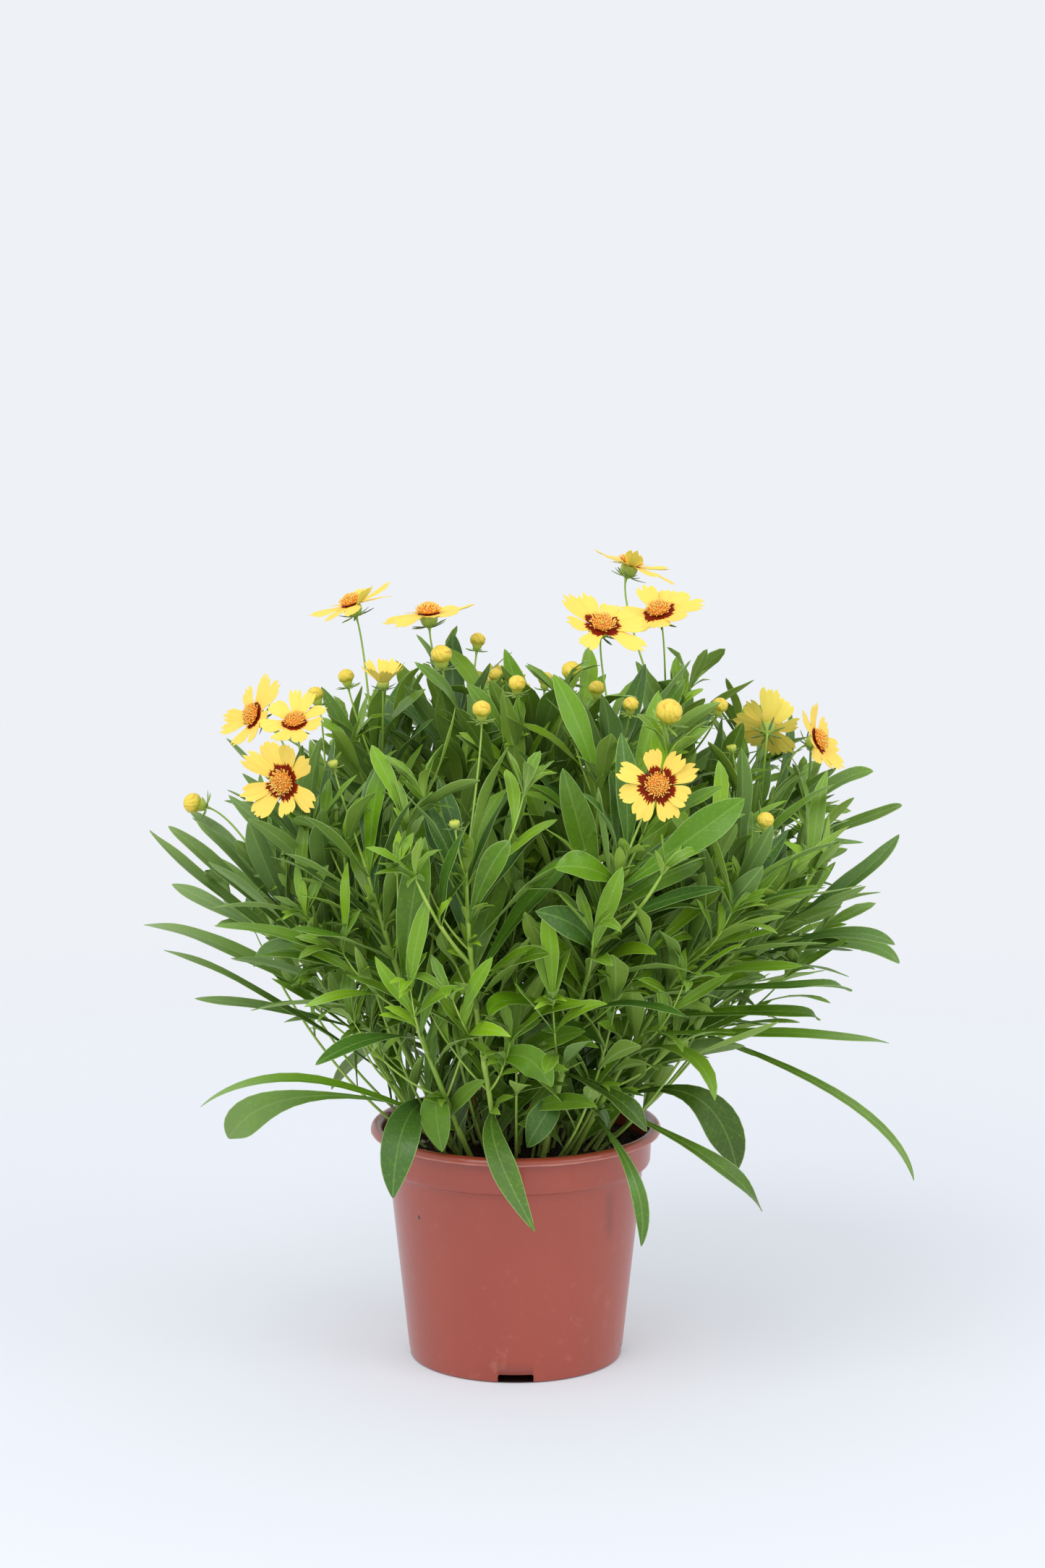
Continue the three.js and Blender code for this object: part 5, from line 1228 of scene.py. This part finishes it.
for group in range(3):
    limbs = inner[group::3]
    parts = [limb_skin(limb, 8, 80 + i) for i, limb in enumerate(limbs)]
    piece(f"inner_stems_{group + 1}", parts + fill_parts(limbs), greens)

# ---------------------------------------------------------------------------------- rays
# Eight broad rays ring each open head: thin, silky, lemon yellow, narrow at the foot and toothed
# at the tip, with two long furrows and, on most, a jagged maroon blotch at the foot.

RAYS, RAY_HUB, RAY_LENGTH, RAY_HALF = 8, 6.3, 20, 6.9
EVEN_GAP = 2 * math.pi / RAYS
RAY_TIPS = [  # where the tip of each ray stands from its disc's middle; None is a regular ring
    [(8, 4, 26), (17, -12, 22), (-6, 20, 14), (-21, 16, -2),
     (-23, 8, -12), (-13, -9, -18), (0, -20, -13), (9, -22, 1)],
    [(-1, 16, 19), (11, 12, 18), (19, 7, 9), (17, -14, 1),
     (4, -24, -9), (-11, -21, -9), (-23, -6, -1), (-16, 13, 11)],
    [(-11, 2, 27), (-25, 4, 16), (4, -10, 26), (17, -16, 17),
     (20, -18, -12), (3, -12, -19), (-18, -2, -22), (-27, 3, -9)],
    [(-27, -3, -7), (-11, 22, -3), (11, -18, 14), (24, 5, 14),
     (26, -9, 8), (2, -26, -3), (8, 22, 8), (-14, -19, -8)],
    [(-29, -2, -6), (-20, -18, -6), (-12, 24, -2), (29, -4, 6),
     (21, 17, 3), (1, -27, 1), (19, -20, 3), (3, 27, 0)],
    None,
    [(-24, 4, 19), (-11, 15, 19), (6, 20, 12), (27, -3, 2),
     (25, -14, -14), (-11, -22, -11), (-22, -11, 4), (18, 13, 9)],
    [(-9, 17, 15), (7, 21, 13), (28, -6, 7), (20, 11, 11),
     (-25, 2, 0), (-19, -16, -10), (1, -26, -6), (16, -21, -1)],
    [(-23, 4, 10), (-12, 20, 4), (4, -20, 12), (29, -7, -12),
     (26, 10, -4), (12, 23, -3), (16, -21, -6), (-12, -21, 5)],
    [(-4, -1, 23), (14, -2, 19), (25, 0, 9), (19, -8, -8),
     (8, -6, -21), (-13, -4, -20), (-24, 0, -8), (-24, 2, 9)],
    [(2, -2, 27), (14, 5, 17), (-22, 6, 5), (-13, 4, 17),
     (21, 9, 2), (17, 6, -17), (3, 12, -20), (-14, 11, -12)],
    [(-1, 2, 24), (9, 20, 8), (15, 17, -9), (18, 2, -17),
     (9, -12, -17), (-2, -21, -11), (-5, -24, 2), (-10, -12, 19)],
    None,
]
STAINS = (  # how far the blotches of each head reach
    0.46, 0.46, 0.74, 0.06, 0.0, 0.0, 0.8, 0.7, 0.1, 0.88, 0.3, 0.5, 0.7,
)
RAY_COLUMNS = np.array([-1, -0.86, -0.68, -0.5, -0.37, -0.2, 0, 0.2, 0.37, 0.5, 0.68, 0.86, 1])
TOOTH_REACH = np.array([0.79, 0.88, 0.96, 0.92, 0.84, 0.95, 1.05, 0.95, 0.84, 0.92, 0.96, 0.88, 0.79])
RAY_FOOT, RAY_STATIONS = -0.16, np.linspace(0, 1, 15)


def ray_ways(face, lift, size, tips, index):
    """Each ray's turn round the head, its rise from flat, its length, and how late it rises."""
    if tips is None:
        item = index * 10 + np.arange(RAYS)
        rise = np.radians(lift + 9 * (draw(item, 1) - 0.5))
        long = RAY_LENGTH * size * (0.95 + 0.1 * draw(item, 2))
        return 2 * math.pi * np.arange(RAYS) / RAYS, rise, long, 1.0
    _, first, second, axis = head_frame((0, 0, 0), face)
    way = np.array(tips, float)
    out, up = np.hypot(way @ first, way @ second) - RAY_HUB * size * 0.9, way @ axis
    turn = np.arctan2(way @ second, way @ first)
    order = np.argsort(turn)
    return turn[order], np.arctan2(up, out)[order], np.hypot(up, out)[order], 1.4


def ray_blades(at, face, lift, size, tips, stain, index):
    """Eight toothed blades in a head's own frame, in a grid of stations along and columns u across.

    Along a ray, out = 0.9 hub + along length cos(rise), and
    up = along^late length sin(rise) - arch (along - 0.35)^2, with a cup, a droop and two furrows.
    Its half width is 0.45 of the full one at the foot, more where its neighbours stand far off, and
    swells from there until seven tenths of the way. Each column ends at its own tooth.
    """
    item = index * 10 + np.arange(RAYS)[:, None, None]
    turns, rise, long, late = ray_ways(face, lift, size, tips, index)
    gaps = np.diff(turns, append=turns[0] + 2 * math.pi)
    room_beside = np.minimum(gaps, np.roll(gaps, 1))[:, None, None] / EVEN_GAP
    wide = np.clip(np.maximum(gaps, np.roll(gaps, 1))[:, None, None] / EVEN_GAP, 1, 1.6)
    turns, rise, long = (values[:, None, None] for values in (turns, rise, long))
    roll = 0.5 * (draw(item, 88) - 0.5)
    narrow = mix(1, 0.74, min(1, lift / 50)) * np.clip(room_beside * 1.15, 0.62, 1)
    u = RAY_COLUMNS[None, None, :]
    split = 0.14 * (draw(item, 80) > 0.62) * np.exp(-((u / 0.1) ** 2))
    outer = np.clip(np.abs(u) * 2.7 - 1, 0, 1)
    teeth = TOOTH_REACH - split + 0.2 * outer * (draw(item * 3 + np.sign(u), 81) - 0.6)
    along = RAY_FOOT + (teeth - RAY_FOOT) * RAY_STATIONS[None, :, None]
    past_foot = np.clip(along, 0, 1)
    swell = np.clip((along + 0.02) / 0.7, 0, 1)
    swell = swell * swell * (3 - 2 * swell)
    broad = RAY_HALF * size * narrow * (0.86 + 0.24 * draw(item, 89))
    foot = 0.45 * mix(wide, 1, np.clip(along * 3, 0, 1))
    half = broad * (foot + 0.53 * swell - 0.1 * np.clip((along - 0.72) / 0.3, 0, 1) ** 2)
    side = u * half * np.cos(roll) + 2.4 * (draw(item, 82) - 0.5) * along
    out = RAY_HUB * size * 0.9 + along * long * np.cos(rise)
    furrow = np.exp(-(((np.abs(u) - 0.37) / 0.13) ** 2)) * np.clip(along + 0.1, 0, 1)
    cup_up = (draw(item, 83) - 0.35) * 2.6 * u**2 * past_foot * size
    droop = 1.8 * (draw(item, 84) - 0.6) * along**3 + 1.6 * (draw(item, 85) - 0.5) * u * along
    arch = (0.8 if late > 1 else 2.2) * size * (along - 0.35) ** 2
    up = np.clip(along, 0, 2) ** late * long * np.sin(rise) - arch + cup_up + droop - 0.3 * furrow
    over_or_under = 0.25 * (np.arange(RAYS)[:, None, None] % 2) - 0.1
    up = up + u * half * np.sin(roll) * past_foot + over_or_under
    turn, radius = turns + np.arctan2(side, out), np.hypot(out, side)
    thick = 0.2 * np.sqrt(1 - 0.7 * u**2) * mix(1.0, 0.5, past_foot)
    top = spun(at, face, radius, turn, up + thick)
    bottom = spun(at, face, radius, turn, up - thick)
    place = np.stack(np.broadcast_arrays(u, along, radius / size), axis=-1)
    tone = np.stack(np.broadcast_arrays(draw(item, 86), draw(item, 87), stain), axis=-1)
    return slabs(top, bottom, (0, 1), place, tone)


def ray_finish(name, pale, deep, blotch, translucence):
    """Petal skin: fine lengthwise veins, a deeper tone toward the foot, and the jagged blotch, if any.

    The blotch ends at radius 7 + 6.6 stained (1 - less) (1 - 0.36 u^2 + 1.7 jag).
    """
    petal = Finish(name, Roughness=0.65, Specular_IOR_Level=0.1, Subsurface_Weight=translucence,
                   Subsurface_Scale=0.0006, Subsurface_Radius=(1.0, 0.8, 0.3))
    u, along, radius = petal.mark("place")
    chance, other, stained = petal.mark("tone")
    ribbed = petal.node("CombineXYZ", {0: petal.times(u, 9), 1: along, 2: petal.times(chance, 37)})
    lines = petal.cloud(ribbed.outputs[0], 2.2, 3)
    colour = petal.blend(petal.ease(lines, 0.1, 0.95), tint(*deep), tint(*pale))
    colour = petal.blend(petal.ease(along, 0.0, 0.55, 0.5, 0), colour, tint(*deep))
    if blotch:
        fringe = petal.node("CombineXYZ", {0: petal.times(u, 3.6), 1: 0.0, 2: petal.times(chance, 53)})
        jag = petal.reckon("SUBTRACT", petal.cloud(fringe.outputs[0], 1.3, 2), 0.5)
        less = petal.times(petal.reckon("SUBTRACT", 1, other), petal.reckon("SUBTRACT", 1.15, stained))
        whole = petal.times(stained, 6.6, petal.reckon("SUBTRACT", 1, less))
        bow = petal.reckon("SUBTRACT", 1, petal.times(0.36, petal.times(u, u)))
        bow = petal.reckon("ADD", bow, petal.times(jag, 1.7))
        past = petal.reckon("SUBTRACT", radius, petal.reckon("ADD", 7.0, petal.times(whole, bow)))
        colour = petal.blend(petal.ease(past, -0.4, 0.9, 0.55, 0), colour, tint(232, 130, 10))
        colour = petal.blend(petal.ease(past, -0.45, 0.25, 0.97, 0), colour, tint(*blotch))
    petal.give(Base_Color=colour)
    petal.relief(lines, 0.00012, 0.2)
    return petal.material


ray_top = ray_finish("ray_upper_face", (247, 221, 113), (243, 206, 88), (118, 10, 0), 0.12)
ray_under = ray_finish("ray_lower_face", (255, 234, 122), (252, 220, 98), None, 0.35)
for i, ((_, _, at, face, lift, size), tips, stain) in enumerate(zip(BLOOMS, RAY_TIPS, STAINS)):
    blades = ray_blades(at, face, lift, size, tips, stain, i)
    piece(f"ray_ring_{i + 1:02d}", [blades], [ray_top, ray_under], f"rays_{i + 1:02d}")

# ---------------------------------------------------------------------------------- discs
# The golden middle of each head is a dome of a hundred and fifty tube florets, set in a
# sunflower spiral, with the outer ones leaning out over the rays.

DISC_RADIUS, DISC_HEIGHT, FLORETS = 8.3, 6.2, 150
CUPPED_LIFT = 30  # rays that stand up more than this many degrees hold a smaller disc, set higher
DOME_RADII, DOME_SIDES = (0.7, 0.84, 0.8, 0.66, 0.42, 0.15), 24
DOME_LEVELS = (0, 0.12, 0.34, 0.54, 0.68, 0.74)
TUBE_STEPS, TUBE_RADII = np.array([0, 0.35, 0.62, 0.85, 1]), np.array([0.3, 0.24, 0.3, 0.42, 0.16])


def disc_base(lift, size):
    """A disc's scale, and the height of its foot."""
    return (size * 0.8, HUB_DEPTH + 0.6) if lift > CUPPED_LIFT else (size, HUB_DEPTH)


def dome(at, face, lift, size):
    """The low dome that the florets stand on: six rings from its rim to its top, round the axis."""
    scale, foot = disc_base(lift, size)
    share, level = np.array(DOME_RADII)[:, None], np.array(DOME_LEVELS)[:, None]
    radius, height = share * DISC_RADIUS * scale * 0.86, foot + level * DISC_HEIGHT * scale
    return spun(at, face, radius, round_angles(DOME_SIDES), height)


def florets(at, face, lift, size, index):
    """Tubes on the dome, at radius 0.74 disc sqrt(i/n) and turn 2.4 i, that flare before their tips.

    The further out a floret stands, the more it leans outward.
    """
    scale, foot = disc_base(lift, size)
    i = np.arange(FLORETS)
    item = i + index * 200
    share = np.sqrt((i + 0.5) / FLORETS)
    angle = GOLDEN_TURN * i + 0.2 * (draw(item, 91) - 0.5)
    lean = np.radians(4 + 46 * share**2.4 + 30 * (draw(item, 92) - 0.5))
    long = scale * (1.9 + 0.7 * share + 1.2 * draw(item, 93))
    base_out = share * DISC_RADIUS * 0.74 * scale
    base_up = foot + scale * DISC_HEIGHT * (0.66 - 0.55 * share**2.4)
    out = base_out[:, None] + (long * np.sin(lean))[:, None] * TUBE_STEPS
    up = base_up[:, None] + (long * np.cos(lean))[:, None] * TUBE_STEPS - 0.3
    paths = spun(at, face, out, angle[:, None] + 0.05 * TUBE_STEPS, up)
    radii = scale * TUBE_RADII * (0.8 + 0.4 * draw(item, 94))[:, None]
    normals = np.broadcast_to(head_frame(at, face)[1] + 0.31, (FLORETS, 3))
    place = np.stack(np.broadcast_arrays(share[:, None], TUBE_STEPS, 0.0), axis=-1)[:, :, None]
    tone = np.stack([draw(i, 95), draw(i, 96), 0 * share], axis=-1)[:, None, None]
    return tubes(paths, radii, 5, normals, 0, place, tone)


gold = Finish("disc_florets", Roughness=0.6, Specular_IOR_Level=0.3, Subsurface_Weight=0.3,
              Subsurface_Scale=0.0008)
share, along, _ = gold.mark("place")
chance = gold.mark("tone")[0]
colour = gold.blend(gold.ease(along, 0.25, 0.85), tint(230, 140, 42), tint(255, 222, 120))
colour = gold.blend(gold.ease(chance, 0.4, 0.9, 0, 0.7), colour, tint(250, 184, 78))
colour = gold.blend(gold.ease(share, 0.05, 0.4, 0.3, 0), colour, tint(236, 150, 60))
gold.give(Base_Color=colour)
gold.relief(gold.cloud(gold.place(), 2600, 2), 0.0002, 0.6)
for i, (_, _, at, face, lift, size) in enumerate(BLOOMS):
    parts = [skins(dome(at, face, lift, size)[None]), florets(at, face, lift, size, i)]
    piece(f"disc_florets_{i + 1:02d}", parts, [gold.material], f"disc_{i + 1:02d}")

# ---------------------------------------------------------------------------------- buds
# A closed bud is a gold globe of eight rays folded over each other with a slight swirl, its
# seams drawn in orange, sitting in its green cup.

BUD_RADIUS, BUD_HEIGHT, BUD_FOOT, BUD_LEVELS, BUD_SIDES = 6.1, 9.6, 0.35, 28, 60
BUD_OUTLINE = [
    (0, 0.62), (0.06, 0.77), (0.16, 0.91), (0.28, 0.985), (0.42, 1.0), (0.56, 0.97), (0.68, 0.89),
    (0.79, 0.76), (0.88, 0.59), (0.94, 0.42), (0.98, 0.25), (1.0, 0.08),
]


def bud_globe(at, face, size, index):
    """A turned outline with eight folds that wind round it.

    Over a fold its radius falls by 0.12 swirl^2 sqrt(level), and steps back up at the next seam.
    """
    level = np.sin(np.linspace(0, math.pi / 2, BUD_LEVELS))[:, None]
    angle = round_angles(BUD_SIDES)[None]
    radius = np.interp(level, *np.array(BUD_OUTLINE).T)
    wind = angle / (2 * math.pi) + 0.2 * level**1.3
    swirl = (8 * wind + 0.42 * np.sin(3 * angle + index) + index * 0.37) % 1
    knobs = 0.05 * np.sin(5 * angle + 3 * index) * np.sin(9 * level + index) * (1 - level)
    scale = 1.03 + knobs - 0.12 * swirl**2 * level**0.5 - 0.04 * (swirl < 0.1)
    height = BUD_FOOT + BUD_HEIGHT * size * level
    rings = spun(at, face, BUD_RADIUS * size * radius * scale, angle, height)
    place = np.stack(np.broadcast_arrays(np.abs(2 * swirl - 1), level, 0.0), axis=-1)
    return skins(rings[None], 0, place[None], [float(draw(index, 97)), 0, 0])


folded = Finish("folded_rays", Roughness=0.45, Specular_IOR_Level=0.35)
edge, level, _ = folded.mark("place")
chance = folded.mark("tone")[0]
spot = folded.place()
colour = folded.blend(folded.cloud(spot, 260, 3), tint(224, 198, 58), tint(238, 214, 92))
blush = folded.ease(folded.cloud(spot, 330, 3), 0.58, 0.68, 0, 0.3)
colour = folded.blend(blush, colour, tint(228, 132, 36))
seam = folded.reckon("ADD", edge, folded.times(folded.cloud(spot, 500, 2), 0.4))
seam = folded.times(folded.ease(seam, 0.9, 1.25), folded.ease(chance, 0.1, 0.9, 0.35, 0.85))
colour = folded.blend(seam, colour, tint(228, 134, 38))
colour = folded.blend(folded.ease(level, 0.2, 0.6, 0.6, 0), colour, tint(190, 186, 60))
folded.give(Base_Color=colour)
folded.relief(folded.cloud(spot, 400, 3), 0.0006, 0.5)
for i, (_, _, at, face, size) in enumerate(BUDS):
    globe = bud_globe(at, face, size, i)
    piece(f"bud_globe_{i + 1:02d}", [globe], [folded.material], f"bud_{i + 1:02d}")
